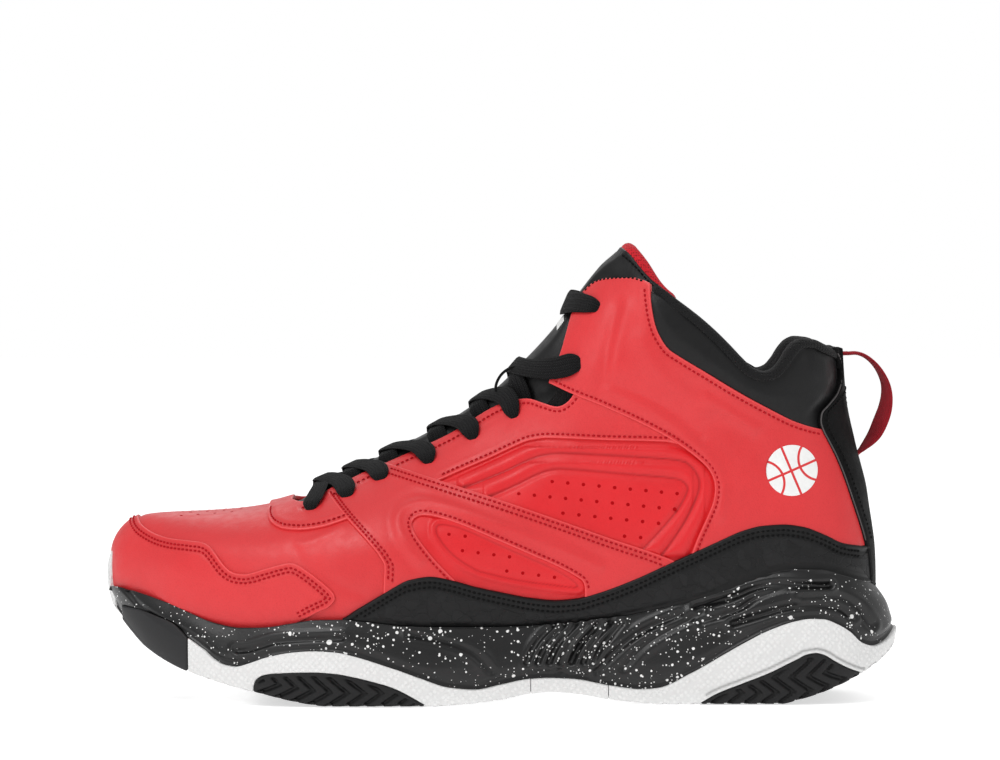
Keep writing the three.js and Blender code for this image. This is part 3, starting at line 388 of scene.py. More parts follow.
def mesh_object(name, points, faces, shade=None, uv=None, weld=True):
    """A smooth mesh object from millimetres, with each vertex's painted shade and depth for its material."""
    mesh = bpy.data.meshes.new(name)
    faces = faces.tolist() if hasattr(faces, "tolist") else faces
    mesh.from_pydata((np.asarray(points, float) * MM).tolist(), [], faces)
    if uv is not None:
        layer = mesh.uv_layers.new(name="UVMap")
        index = np.zeros(len(mesh.loops), int)
        mesh.loops.foreach_get("vertex_index", index)
        layer.data.foreach_set("uv", np.asarray(uv, float)[index].ravel())
    values = np.zeros((len(mesh.vertices), 2)) if shade is None else np.asarray(shade, float)
    for k, key in enumerate(("shade", "depth")):
        layer = mesh.attributes.new(key, "FLOAT", "POINT")
        layer.data.foreach_set("value", np.ascontiguousarray(values[:, k]))
    if weld:
        bm = bmesh.new()
        bm.from_mesh(mesh)
        bmesh.ops.remove_doubles(bm, verts=bm.verts, dist=2e-6)
        bmesh.ops.dissolve_degenerate(bm, edges=bm.edges, dist=1e-6)
        bm.to_mesh(mesh)
        bm.free()
    mesh.polygons.foreach_set("use_smooth", np.ones(len(mesh.polygons), bool))
    obj = bpy.data.objects.new(name, mesh)
    bpy.context.collection.objects.link(obj)
    return obj


class Builder:
    """Collects small parts into one mesh."""

    def __init__(self):
        self.points, self.faces, self.uv, self.count = [], [], [], 0

    def add(self, points, faces, uv=None):
        points = np.asarray(points, float).reshape(-1, 3)
        self.faces += [[i + self.count for i in f] for f in faces]
        self.points.append(points)
        self.uv.append(np.zeros((len(points), 2)) if uv is None else np.asarray(uv, float))
        self.count += len(points)

    def make(self, name):
        return mesh_object(name, np.vstack(self.points), self.faces, uv=np.vstack(self.uv), weld=False)


# ---------------------------------------------------------------- materials


class Nodes:
    """Shorthand for building one material's node tree."""

    def __init__(self, name, roughness=0.5, **inputs):
        self.material = bpy.data.materials.new(name)
        self.material.use_nodes = True
        self.tree = self.material.node_tree
        self.shader = self.tree.nodes["Principled BSDF"]
        self.shader.inputs["Roughness"].default_value = roughness
        for key, value in inputs.items():
            self.shader.inputs[key.replace("_", " ")].default_value = value
        self.coords = self.tree.nodes.new("ShaderNodeTexCoord").outputs["Object"]
        self.height = None

    def new(self, kind, settings=(), **inputs):
        node = self.tree.nodes.new("ShaderNode" + kind)
        for key, value in dict(settings).items():
            setattr(node, key, value)
        for key, value in inputs.items():
            self.put(node.inputs[key.replace("_", " ")], value)
        return node

    def put(self, socket, value):
        if isinstance(value, bpy.types.NodeSocket):
            self.tree.links.new(value, socket)
        else:
            socket.default_value = value

    def math(self, operation, a, b=0.0, c=None, clamp=False):
        node = self.new("Math", {"operation": operation, "use_clamp": clamp})
        for socket, value in zip(node.inputs, (a, b, c)):
            if value is not None:
                self.put(socket, value)
        return node.outputs[0]

    def noise(self, scale, detail=3.0, roughness=0.55, vector=None, distortion=0.0):
        node = self.new("TexNoise", Scale=scale, Detail=detail, Roughness=roughness, Distortion=distortion)
        self.put(node.inputs["Vector"], vector or self.coords)
        return node.outputs["Fac"]

    def voronoi(self, scale, feature="F1", output="Distance", vector=None, randomness=1.0):
        node = self.new("TexVoronoi", {"feature": feature}, Scale=scale, Randomness=randomness)
        self.put(node.inputs["Vector"], vector or self.coords)
        return node.outputs[output]

    def ramp(self, value, low, high, out_low=0.0, out_high=1.0):
        node = self.new("MapRange", {"interpolation_type": "SMOOTHSTEP"})
        names = ("Value", "From Min", "From Max", "To Min", "To Max")
        for key, v in zip(names, (value, low, high, out_low, out_high)):
            self.put(node.inputs[key], v)
        return node.outputs[0]

    def mix(self, factor, a, b, blend="MIX"):
        node = self.new("Mix", {"data_type": "RGBA", "blend_type": blend})
        self.put(node.inputs["Factor"], factor)
        for key, value in (("A", a), ("B", b)):
            socket = [s for s in node.inputs if s.name == key and s.type == "RGBA"][0]
            self.put(socket, (*value, 1.0) if isinstance(value, tuple) and len(value) == 3 else value)
        return [s for s in node.outputs if s.type == "RGBA"][0]

    def colour(self, value):
        self.put(self.shader.inputs["Base Color"], (*value, 1.0) if isinstance(value, tuple) else value)

    def bump(self, height, distance, strength=1.0):
        """Adds a bump of that height in metres over the ones before it."""
        node = self.new("Bump", Strength=strength, Distance=distance)
        self.put(node.inputs["Height"], height)
        if self.height is not None:
            self.put(node.inputs["Normal"], self.height)
        self.height = node.outputs[0]
        self.put(self.shader.inputs["Normal"], self.height)

    def attribute(self, name):
        return self.new("Attribute", {"attribute_name": name}).outputs["Fac"]

    # The shade attribute: painted shade, how far a material darkens each vertex in grooves and pressed lines.
    def shade(self):
        return self.attribute("shade")

    def axes(self, vector=None):
        return self.new("SeparateXYZ", Vector=vector or self.coords).outputs

    def product(self, a, b):
        return self.math("MULTIPLY", a, b)

    def total(self, a, b):
        return self.math("ADD", a, b)


RED = (0.655, 0.026, 0.030)


def darker(colour, share):
    return tuple(c * share for c in colour)


def leather(name, colour, dark, grain=1.0, roughness=0.42, gloss=0.42, edge=0.75):
    """Smooth full-grain leather: fine pebbled pores, faint creases and a soft, uneven sheen, with a painted
    highlight along each piece's folded edge and painted shade in its pressed lines.
    """
    n = Nodes(name, roughness, Specular_IOR_Level=gloss, Coat_Weight=0.10 * gloss, Coat_Roughness=0.45)
    tone = n.ramp(n.noise(34, 4, 0.6), 0.3, 0.72)
    base = n.mix(n.product(tone, 0.30), colour, darker(colour, 0.80))
    pores = n.voronoi(1500, "F1")
    base = n.mix(n.ramp(pores, 0.1, 0.45, 0.18, 0.0), base, dark)
    # Painted highlight: a lighter band just inside each piece's cut edge, standing in for light caught by its
    # folded edge; `edge` sets how strong it is.
    depth = n.attribute("depth")
    fold = n.product(n.ramp(depth, 0.02, 0.12, 0.0, 1.0), n.ramp(depth, 0.30, 0.75, 1.0, 0.0))
    painted_edge_highlight = tuple(c * 1.12 + 0.07 * colour[0] for c in colour)
    base = n.mix(n.product(fold, edge), base, painted_edge_highlight)
    # Painted shade: darker in the grooves, stitch channels and pressed lines that the shade attribute marks.
    base = n.mix(n.ramp(n.shade(), 0.05, 1.0), base, dark)
    n.colour(base)
    uneven = n.ramp(n.noise(260, 3), 0.25, 0.8, roughness - 0.06, roughness + 0.10)
    n.put(n.shader.inputs["Roughness"], uneven)
    n.bump(n.noise(70, 3, 0.5), 0.00035 * grain)
    n.bump(n.voronoi(1150, "DISTANCE_TO_EDGE"), 0.00010 * grain, 0.55)
    n.bump(n.noise(2400, 2, 0.6), 0.00006 * grain, 0.6)
    return n.material


def crackled(name):
    """Black synthetic with faint, flat, angular facets, left smooth along its folded edge, with painted shade
    in the pressed line beside it.
    """
    n = Nodes(name, 0.5, Specular_IOR_Level=0.24)
    warped = n.new("VectorMath", {"operation": "ADD"})
    n.put(warped.inputs[0], n.coords)
    shift = n.new("VectorMath", {"operation": "SCALE"})
    n.put(shift.inputs[0], n.new("TexNoise", Scale=160.0, Detail=2.0, Vector=n.coords).outputs["Color"])
    shift.inputs["Scale"].default_value = 0.006
    n.put(warped.inputs[1], shift.outputs[0])
    where = warped.outputs[0]
    field = n.ramp(n.attribute("depth"), 3.6, 5.4)
    tone = n.new("SeparateColor", Color=n.voronoi(210, "F1", "Color", where)).outputs[0]
    small = n.new("SeparateColor", Color=n.voronoi(420, "F1", "Color", where)).outputs[1]
    edge = n.voronoi(210, "DISTANCE_TO_EDGE", "Distance", where)
    facets = n.product(n.total(n.product(tone, 0.65), n.product(small, 0.35)), field)
    base = n.mix(facets, (0.0035, 0.0035, 0.0037), (0.0125, 0.0125, 0.0130))
    line = n.product(n.ramp(edge, 0.0, 0.05, 0.35, 0.0), field)
    base = n.mix(line, base, (0.003, 0.003, 0.003))
    # Painted shade: darker along the pressed line that the shade attribute marks beside the folded edge.
    n.colour(n.mix(n.shade(), base, (0.002, 0.002, 0.002)))
    n.put(n.shader.inputs["Roughness"], n.ramp(facets, 0, 1, 0.46, 0.62))
    n.bump(facets, 0.00060)
    n.bump(n.product(n.ramp(edge, 0.0, 0.07), field), 0.00010)
    n.bump(n.noise(2600, 2), 0.00005, 0.7)
    return n.material


def speckled(name):
    """Black moulded foam with flung white paint: drops of many sizes, thicker in places, and painted shade in
    its moulded grooves.
    """
    n = Nodes(name, 0.33, Specular_IOR_Level=0.42)
    patch = n.ramp(n.noise(26, 2, 0.5), 0.34, 0.62, 0.62, 1.0)
    drops = None
    for scale, size, share in ((140, 0.19, 0.62), (260, 0.25, 0.45), (520, 0.30, 0.35), (900, 0.32, 0.45)):
        jitter = n.new("TexNoise", Scale=scale * 2.2, Detail=1.0, Vector=n.coords).outputs["Fac"]
        cell = n.new("SeparateColor", Color=n.voronoi(scale, "F1", "Color"))
        reach = n.product(n.product(n.ramp(cell.outputs[0], share, 1.0), size), patch)
        gap = n.total(n.voronoi(scale), n.product(n.math("SUBTRACT", jitter, 0.5), 0.16))
        spot = n.math("GREATER_THAN", n.math("SUBTRACT", reach, gap), 0.012)
        drops = spot if drops is None else n.math("MAXIMUM", drops, spot)
    base = n.mix(n.noise(60, 3), (0.0035, 0.0035, 0.0037), (0.0075, 0.0075, 0.0078))
    # Painted shade: darker in the moulded grooves that the shade attribute marks.
    base = n.mix(n.shade(), base, (0.004, 0.004, 0.004))
    n.colour(n.mix(drops, base, (0.80, 0.80, 0.79)))
    n.bump(drops, 0.00008)
    n.bump(n.noise(1800, 3, 0.6), 0.00010, 0.6)
    return n.material


def rubber(name, colour, pebble=0.0, roughness=0.55):
    """Moulded rubber, with rows of small raised pebbles where it shows at the sides, and painted shade
    between the pebbles and in its tread grooves.
    """
    n = Nodes(name, roughness, Specular_IOR_Level=0.3)
    tone = n.ramp(n.noise(45, 4), 0.3, 0.75)
    base = n.mix(n.product(tone, 0.35), colour, darker(colour, 0.86))
    if pebble:
        turned = n.new("Mapping", Vector=n.coords, Rotation=(0.35, 0.785, 0.2)).outputs[0]
        dots = n.voronoi(560, "F1", vector=turned, randomness=0.35)
        # Painted shade: darker between the raised pebbles.
        base = n.mix(n.ramp(dots, 0.30, 0.60, 0.0, 0.22), base, darker(colour, 0.55))
        n.bump(n.ramp(dots, 0.15, 0.60, 1.0, 0.0), 0.00022 * pebble)
    # Painted shade: darker in the tread grooves and pressed lines that the shade attribute marks.
    n.colour(n.mix(n.shade(), base, darker(colour, 0.30)))
    n.bump(n.noise(1500, 3, 0.6), 0.00008, 0.6)
    return n.material


def fabric(name, colour, light, pitch=0.0011, roughness=0.9, sheen=0.3):
    """Air mesh: a knit of small open cells, with painted shade inside the cells."""
    n = Nodes(name, roughness, Specular_IOR_Level=0.2, Sheen_Weight=sheen * 0.25, Sheen_Roughness=0.5)
    holes = n.voronoi(1 / pitch, "F1", randomness=0.15)
    # Painted shade: the open cells are coloured darker than the knit around them.
    base = n.mix(n.ramp(holes, 0.15, 0.42), darker(colour, 0.35), colour)
    base = n.mix(n.product(n.noise(3000, 2), 0.45), base, light)
    # Painted shade: darker where the shade attribute marks grooves.
    n.colour(n.mix(n.shade(), base, darker(colour, 0.3)))
    n.bump(n.ramp(holes, 0.1, 0.45), 0.00035)
    n.bump(n.noise(4200, 2), 0.00010, 0.8)
    return n.material


def woven(name, colour, light, pick=0.0009, rib=0.0011, roughness=0.85):
    """Flat woven tape: diagonal ribs that meet in V shapes along its length, from the UVs in metres, the rib
    tops painted lighter and the grooves darker as painted highlight and shade.
    """
    n = Nodes(name, roughness, Specular_IOR_Level=0.12, Sheen_Weight=0.04, Sheen_Roughness=0.45)
    u, v = n.axes(n.new("TexCoord").outputs["UV"])[:2]
    fold = n.math("PINGPONG", v, rib)
    wave = n.math("SINE", n.product(n.total(u, fold), 2 * math.pi / pick))
    column = n.math("SINE", n.product(v, 2 * math.pi / rib))
    height = n.total(n.product(wave, 0.6), n.product(column, 0.5))
    fluff = n.noise(3600, 3, 0.7)
    # Painted highlight and shade: the raised ribs are coloured lighter than the grooves between them; the
    # fluff adds random flecks.
    tone = n.total(n.ramp(height, -1, 1, 0, 0.7), n.product(fluff, 0.4))
    n.colour(n.mix(tone, colour, light))
    n.bump(height, 0.00022)
    n.bump(fluff, 0.00012, 0.7)
    return n.material


def thread(name, colour, light):
    """Twisted sewing thread, the crests of its twist painted lighter as a painted highlight."""
    n = Nodes(name, 0.6, Specular_IOR_Level=0.12)
    twist = n.new("TexWave", {"bands_direction": "DIAGONAL"}, Scale=1500.0, Vector=n.coords).outputs["Fac"]
    # Painted highlight and shade: the twist's raised bands are coloured lighter than its hollows.
    n.colour(n.mix(twist, colour, light))
    n.bump(twist, 0.00006)
    return n.material


def print_ball(name, centre):
    """A plain printed ball, white with thin seams left open to the leather's red."""
    n = Nodes(name, 0.35)
    x, _, z = n.axes()
    x = n.math("SUBTRACT", x, centre[0] * MM)
    z = n.math("SUBTRACT", z, centre[1] * MM)
    turned = n.total(n.product(x, 0.92), n.product(z, 0.39))
    level = n.math("SUBTRACT", n.product(z, 0.92), n.product(x, 0.39))
    lines = [n.math("ABSOLUTE", turned), n.math("ABSOLUTE", level)]
    for centre_x in (-0.0118, 0.0118):
        off = n.total(turned, centre_x)
        reach = n.math("SQRT", n.total(n.math("POWER", off, 2), n.math("POWER", level, 2)))
        lines.append(n.math("ABSOLUTE", n.math("SUBTRACT", reach, 0.0082)))
    nearest = lines[0]
    for line in lines[1:]:
        nearest = n.math("MINIMUM", nearest, line)
    open_ = n.ramp(nearest, 0.00038, 0.00052, 1.0, 0.0)
    white = n.mix(n.noise(300, 3), (0.86, 0.86, 0.85), (0.74, 0.74, 0.73))
    n.colour(n.mix(open_, white, RED))
    n.bump(open_, -0.00008)
    n.bump(n.noise(2400, 2), 0.00005, 0.6)
    return n.material


def plain(name, colour, scale=900.0, depth=0.0001, roughness=0.6, gloss=0.4):
    """Simple materials with a fine tooth: board, moulded plastic, print and edge paint."""
    n = Nodes(name, roughness, Specular_IOR_Level=gloss)
    n.colour(n.mix(n.noise(scale / 8, 3), colour, darker(colour, 0.75)))
    n.bump(n.noise(scale, 3), depth)
    return n.material


def floor_material():
    """White paper, lit from below as a product table is."""
    n = Nodes("floor_paper", 0.8, Specular_IOR_Level=0.0, Emission_Color=(1, 1, 1, 1), Emission_Strength=0.62)
    n.colour(n.mix(n.noise(6, 2), (0.74, 0.74, 0.74), (0.73, 0.73, 0.73)))
    n.bump(n.noise(900, 2), 0.00002)
    return n.material


PORE_BLACK = (0.003, 0.003, 0.003)
M = {
    "red": leather("red_leather", RED, (0.34, 0.006, 0.010)),
    "red_smooth": leather("red_leather_moulded", (0.68, 0.017, 0.022), (0.40, 0.004, 0.008), 0.6, 0.38, 0.30),
    "collar": leather("black_leather_soft", (0.0052, 0.0052, 0.0055), PORE_BLACK, 1.1, 0.44, 0.24),
    "tongue": leather("black_leather_tongue", (0.0066, 0.0066, 0.0070), PORE_BLACK, 1.0, 0.42, 0.26),
    "strip": leather(
        "black_leather_nubuck", (0.0034, 0.0034, 0.0036), (0.0018, 0.0018, 0.0018), 2.2, 0.66, 0.11
    ),
    "piping": plain("edge_paint", (0.075, 0.068, 0.068), 1500, 0.00005, 0.45),
    "foxing": crackled("black_crackle"),
    "midsole": speckled("speckled_foam"),
    "white": rubber("white_rubber", (0.76, 0.76, 0.755), 1.0),
    "toe_pad": rubber("black_rubber_toe", (0.017, 0.017, 0.018), 0.0, 0.6),
    "pad": rubber("black_rubber", (0.0046, 0.0046, 0.005), 0.0, 0.5),
    "lace": woven("lace_weave", (0.0028, 0.0028, 0.003), (0.0105, 0.0105, 0.011)),
    "webbing": woven("red_webbing", (0.26, 0.008, 0.014), (0.50, 0.022, 0.036), 0.0008, 0.0010),
    "mesh": fabric("red_mesh", (0.52, 0.012, 0.022), (0.62, 0.022, 0.032), 0.0009),
    "lining": fabric("black_mesh", (0.0060, 0.0060, 0.0063), (0.013, 0.013, 0.0135)),
    "stitch": thread("red_thread", (0.36, 0.003, 0.009), (0.54, 0.007, 0.016)),
    "stitch_black": thread("black_thread", (0.0015, 0.0015, 0.0015), (0.006, 0.006, 0.006)),
    "hole": plain("punched_hole", (0.42, 0.003, 0.006), 800, 0.00005, 0.9, 0.05),
    "board": plain("board_fibre", (0.60, 0.54, 0.42), 700, 0.0002, 0.9),
    "plastic": plain("stiff_plastic", (0.33, 0.33, 0.31), 600, 0.0001, 0.55),
    "tip": plain("lace_tip", (0.006, 0.006, 0.006), 900, 0.00005, 0.28),
    "label": plain("white_print", (0.82, 0.82, 0.81), 900, 0.00005, 0.45),
}

# ---------------------------------------------------------------- side-view lines

feather_z = curve([
    (-151, 41.5), (-146, 42), (-140, 40.7), (-130, 37.7), (-120, 34), (-110, 30.7), (-100, 29.2),
    (-90, 29.5), (-80, 31), (-70, 32.5), (-60, 32.7), (-50, 31.7), (-30, 30), (0, 29.8), (20, 30.5),
    (40, 32.5), (60, 36.5), (70, 38.6), (80, 41.7), (90, 46), (100, 49.6), (110, 51), (120, 50.8),
    (130, 48.5), (140, 46), (150, 45),
])
white_z = curve([
    (-152, 43), (-147, 43), (-144, 41), (-138, 34.5), (-128, 28.5), (-118, 24.4),
    (-112, 20.3), (-108, 16.8), (-104, 14.8), (-100, 14.3), (-96, 15.3), (-88, 18.2), (-78, 20.2),
    (-70, 20.7), (-62, 20.3), (-55, 18.8), (-40, 14), (-30, 10.3), (-20, 6.9), (-10, 5.9), (0, 7.8),
    (10, 9.7), (18, 10), (27, 9.5), (40, 7), (52, 5.5), (58, 6), (70, 11.5), (90, 23), (100, 28),
    (110, 31.3), (115, 32), (120, 31.8), (125, 30), (130, 27), (135, 22.5), (140, 21), (145, 22.7),
    (150, 27.5),
])
ground_z = curve([
    (-151, 46), (-150.5, 41), (-148.5, 35), (-145, 30.5), (-140, 25), (-135, 20.3), (-125, 14.5),
    (-116, 11), (-100, 6.5), (-90, 4.3), (-80, 2), (-72, 0.6), (-66, 0), (-25, 0), (-10, 1),
    (0, 2.2), (10, 4.3), (18, 5), (28, 4.2), (40, 2), (52, 0.5), (60, 0), (104, 0), (110, 1.3),
    (118, 3.6), (130, 8.5), (140, 14), (145, 17.5), (148, 20.3), (149.6, 24),
])
fore_pad_z = curve([
    (-93, 7), (-92, 9.6), (-89, 11.5), (-85, 12.2), (-70, 12.8), (-62, 12.3), (-55, 11), (-48, 9.3),
    (-42, 7.5), (-37, 5.3), (-33, 3), (-29, 0.6),
])
heel_pad_z = curve([
    (74, 0.5), (80, 4), (90, 8), (100, 12), (105, 14.5), (110, 17), (113.5, 18.7), (117, 19.2),
    (120, 18.5), (125, 15.6), (130, 13), (134.2, 11.3),
])
toe_pad_z = curve([(-144.6, 34.8), (-137, 34), (-130, 32), (-124, 29.8), (-120, 26.4), (-118, 24.3)])
foxing_z = curve([
    (-59, 32.8), (-55, 35.5), (-50, 38.5), (-45, 41.5), (-40, 44.5), (-35, 47), (-27, 48.2),
    (-20, 47), (-10, 44.2), (0, 42), (10, 40), (20, 39), (27, 39.5), (35, 41.5), (50, 47), (60, 51.5),
    (70, 56), (80, 60.5), (90, 64.8), (97, 66.5), (105, 67), (112, 66.1), (120, 63), (127, 59.6),
    (134, 58.2),
])
seam_x = curve([(26, -44.5), (44, -44.3), (52, -44), (56, -46), (60, -49.5), (70, -59.3), (78.4, -67)])
band_z = curve([(-44, 88.5), (-35, 86), (-20, 81.7), (0, 75.7), (20, 69), (40, 62), (55, 57), (63, 54)])
inset_top_z = curve([
    (-30, 80.5), (-24, 83), (-15, 87), (-5, 91.3), (5, 96), (10, 98), (17, 99), (40, 98.3), (60, 97.8),
    (64, 97.2), (72, 94),
])
collar_z = curve([
    (52, 159), (60, 154.8), (65, 151), (70, 147.3), (75, 143.3), (80, 138.8), (85, 133.8), (90, 128.5),
    (94, 125), (98, 123.8), (101, 124.8), (104, 128), (107, 132.3), (110, 135.2), (113, 136.3),
    (117, 136), (121, 134.3), (125, 132.5), (128, 131.3), (132, 131),
])
collar_seam_z = curve([
    (56.2, 148), (57, 141), (59, 137), (62, 133), (66, 130), (75, 124.5), (90, 115.5), (100, 110),
    (110, 105), (118.5, 102.4), (140, 99),
])
strip_x = curve([
    (40, 137.5), (47, 137), (52, 136.5), (58, 135.5), (62, 134.5), (67, 133), (73, 131), (79, 129),
    (86, 126.5), (92, 124), (98, 121), (102, 119), (105, 118.2), (108, 118.5), (111, 121), (116, 125),
    (121, 126.5), (126, 126.4), (131, 124.5), (135, 121),
])
throat_edge_z = curve([
    (-79.3, 74.6), (-76, 74), (-72, 75), (-66, 78), (-55, 83.3), (-44, 88.7), (-36, 92.3), (-20, 99.8),
    (-2, 110.7), (5, 113.3), (10, 114.8), (15, 117.3), (17.5, 119.7), (22, 130), (24.5, 138), (27, 146),
    (30, 152), (35, 157), (40, 158.6), (52, 159),
])
REAR_EDGE = spline([
    (17.5, 119.5), (27, 115.3), (36, 111.8), (50, 105.5), (60, 100.3), (66, 96.6), (72, 92.2),
    (76.5, 88), (78.7, 84), (79.3, 80), (78.5, 75), (76, 69), (73, 62.5), (71, 57.5), (69, 52),
])
THROAT_TOP = spline([
    (17.5, 119.7), (22, 130), (24.5, 138), (27, 146), (30, 152), (35, 157), (40, 158.6), (48, 159.2),
    (52.3, 158.3), (55, 157.4),
])
COLLAR_FRONT = spline([
    (55.5, 157), (55.6, 152), (56.2, 146.5), (57.3, 141), (59.2, 136.6), (62, 132.6), (66, 129.8),
    (70, 127.4), (75, 124.5),
])
NOTCH = spline([(4, 113), (10, 113.6), (15, 112.2), (20, 110.8), (23, 111.6), (25.5, 113.8), (27.5, 117)])
TEARDROP = spline([
    (-14.5, 43), (-18.5, 47.3), (-25, 54), (-30, 60), (-33, 64.5), (-33.7, 68), (-31, 70.2), (-25, 69.7),
    (-15, 66.7), (0, 60.5), (10, 56.2), (20, 51.8), (27, 48), (30, 45.6), (30.6, 42), (30.3, 37),
])
CAP_EDGE = spline([
    (-139.8, 76), (-139.2, 70.6), (-138.7, 67.6), (-136.6, 64.8), (-132, 62.3), (-126, 60.6), (-118, 59.8),
    (-112.6, 59.3), (-109.5, 58), (-107, 55.5), (-103.5, 51.3), (-100.5, 49.2), (-97, 48.6), (-94, 48.9),
    (-87, 51), (-80, 52.8), (-76.6, 52.4), (-73, 50.4), (-69, 47.6), (-63.8, 43.2), (-62.3, 40.8),
    (-62.6, 39), (-65, 36.6), (-70, 34.2), (-78, 30),
])
D_EDGE = spline([
    (-86.5, 80), (-87.8, 75), (-88.8, 71), (-88, 68.3), (-86, 66.3), (-82.5, 64.9), (-78, 64.5),
    (-73, 64.7), (-66, 66), (-57.8, 68.7), (-54, 70),
])


def hem(x0, x1, drop=3.0):
    """The upper's lower edge, `drop` under the top of the sole."""
    return along(feather_z, x0, x1, -drop, 2.0)


THROAT = chain(along(throat_edge_z, -79.3, 53, 0, 0.7), [(53, 240), (-79.3, 240)])
VAMP = chain(hem(-158, -42), up_along(seam_x, 30, 78, 2.0), [(-64, 84), (-64, 120), (-158, 120)])
CAP = chain([(-165, 76)], CAP_EDGE, hem(-82, -165))
THROAT_PIECE = chain(D_EDGE, up_along(seam_x, 70, 79, 2.0), [(-64, 120), (-86.5, 120)])
FOREQUARTER = chain(
    hem(70, -44.5), up_along(seam_x, 30, 79), [(-67, 120), (-44.3, 120)], along(band_z, -44.2, 63), [(70, 50)]
)
EYESTAY = chain(
    [(-47, 130), (4, 130)], NOTCH, [(31, 119), (62, 101)],
    along(inset_top_z, 70, -30), along(band_z, -30, -47, -3),
)
INSET = chain(along(inset_top_z, -30, 72, 2.5), [(83, 88), (84, 78), (76, 52)], along(band_z, 66, -30, -3))
REAR = chain(
    THROAT_TOP[:-2], COLLAR_FRONT, along(collar_seam_z, 76, 121, 0),
    [(128, 99), (133, 90), (140, 62), (141, 46)], hem(140, 66), REAR_EDGE[::-1],
)
COLLAR_LINE = along(collar_z, 56.5, 132, 0, 0.6)
FOXING = chain(along(foxing_z, -59.5, 138), [(139, 44)], hem(139, -60))
STRIP = chain(up_along(strip_x, 42, 132.6), along(collar_z, 123.8, 131, 0.2), [(155, 131.2), (155, 42)])

# ---------------------------------------------------------------- the camera and the stage


LENS_MM, SENSOR_MM = 200, 36
CAMERA_AT, CAMERA_AIM = (-0.0010, -2.111, 0.1735), (-0.0010, -0.020, 0.1206)
FLOOR_REACH, FLOOR_GAP = 6000, 0.0003
WORLD_LIGHT, WORLD_SEEN = 0.57, 1.0
SOFTBOXES = (
    # name, place, height of the point it faces, size, watts
    ("softbox_key", (-0.55, -0.75, 1.5), 0.06, (0.9, 0.7), 10.5),
    ("softbox_front", (-1.0, -1.4, 0.8), 0.08, (0.9, 0.8), 4),
    ("softbox_right", (1.3, -1.1, 0.9), 0.08, (0.7, 0.7), 2),
    ("softbox_back", (0.2, 1.5, 1.2), 0.08, (1.2, 0.9), 6),
)


def aimed(name, data, at, aim):
    """Adds a camera or a light at a place, facing a point."""
    obj = bpy.data.objects.new(name, data)
    bpy.context.collection.objects.link(obj)
    obj.location = at
    obj.rotation_euler = (Vector(aim) - Vector(at)).to_track_quat("-Z", "Y").to_euler()
    return obj


def camera():
    data = bpy.data.cameras.new("camera")
    data.lens, data.sensor_width = LENS_MM, SENSOR_MM
    data.clip_start, data.clip_end = 0.05, 80
    bpy.context.scene.camera = aimed("camera", data, CAMERA_AT, CAMERA_AIM)


def stage():
    """White paper, an even white room and four softboxes."""
    far = FLOOR_REACH
    corners = [(-far, -far, 0), (far, -far, 0), (far, far, 0), (-far, far, 0)]
    floor = mesh_object("floor", corners, [(0, 1, 2, 3)])
    floor.location.z = -FLOOR_GAP
    floor.data.materials.append(floor_material())
    world = bpy.data.worlds.new("studio")
    world.use_nodes = True
    tree = world.node_tree
    seen = tree.nodes.new("ShaderNodeLightPath").outputs["Is Camera Ray"]
    strength = tree.nodes.new("ShaderNodeMapRange")
    strength.inputs["To Min"].default_value = WORLD_LIGHT
    strength.inputs["To Max"].default_value = WORLD_SEEN
    tree.links.new(seen, strength.inputs["Value"])
    tree.nodes["Background"].inputs["Color"].default_value = (1, 1, 1, 1)
    tree.links.new(strength.outputs[0], tree.nodes["Background"].inputs["Strength"])
    bpy.context.scene.world = world
    for name, at, aim_z, size, watts in SOFTBOXES:
        data = bpy.data.lights.new(name, "AREA")
        data.shape, data.size, data.size_y, data.energy = "RECTANGLE", *size, watts
        aimed(name, data, at, (0, 0, aim_z))
    bpy.context.scene.view_settings.view_transform = "Standard"


# ---------------------------------------------------------------- stitches and punched holes

SIDE_NAMES = {-1: "lateral", 1: "medial"}


def on_skin(path, side, height):
    """Points `height` over the skin along a side-view line, evenly close together, with their normals."""
    path = np.asarray(path, float)
    fine = spline(path, 0.3) if len(path) > 2 else np.linspace(path[0], path[1], 80)
    p = skin_point(fine[:, 0], fine[:, 1], side)
    n = skin_normal(fine[:, 0], fine[:, 1], side)
    if callable(height):
        height = height(p, side)[:, None]
    return p + n * height, n


PITCH, STITCH, THREAD = 1.9, 1.35, 0.33
# Sections along one stitch: place along it, share of the thread's radius, and lift.
STITCH_PROFILE = (
    (-0.5, 0.25, -0.28), (-0.36, 0.9, 0.05), (0.0, 1.15, 0.16), (0.36, 0.9, 0.05), (0.5, 0.25, -0.28),
)


def swept_faces(count, ring):
    """The faces of a section of `ring` points swept through `count` places, with both ends closed."""
    faces = []
    for i in range(count - 1):
        for k in range(ring):
            m = (k + 1) % ring
            faces.append([i * ring + k, i * ring + m, (i + 1) * ring + m, (i + 1) * ring + k])
    faces.append(list(range(ring))[::-1])
    faces.append([(count - 1) * ring + k for k in range(ring)])
    return faces


def circle(count):
    """Cosine and sine of evenly spaced angles."""
    return [(math.cos(t), math.sin(t)) for t in (2 * math.pi * k / count for k in range(count))]


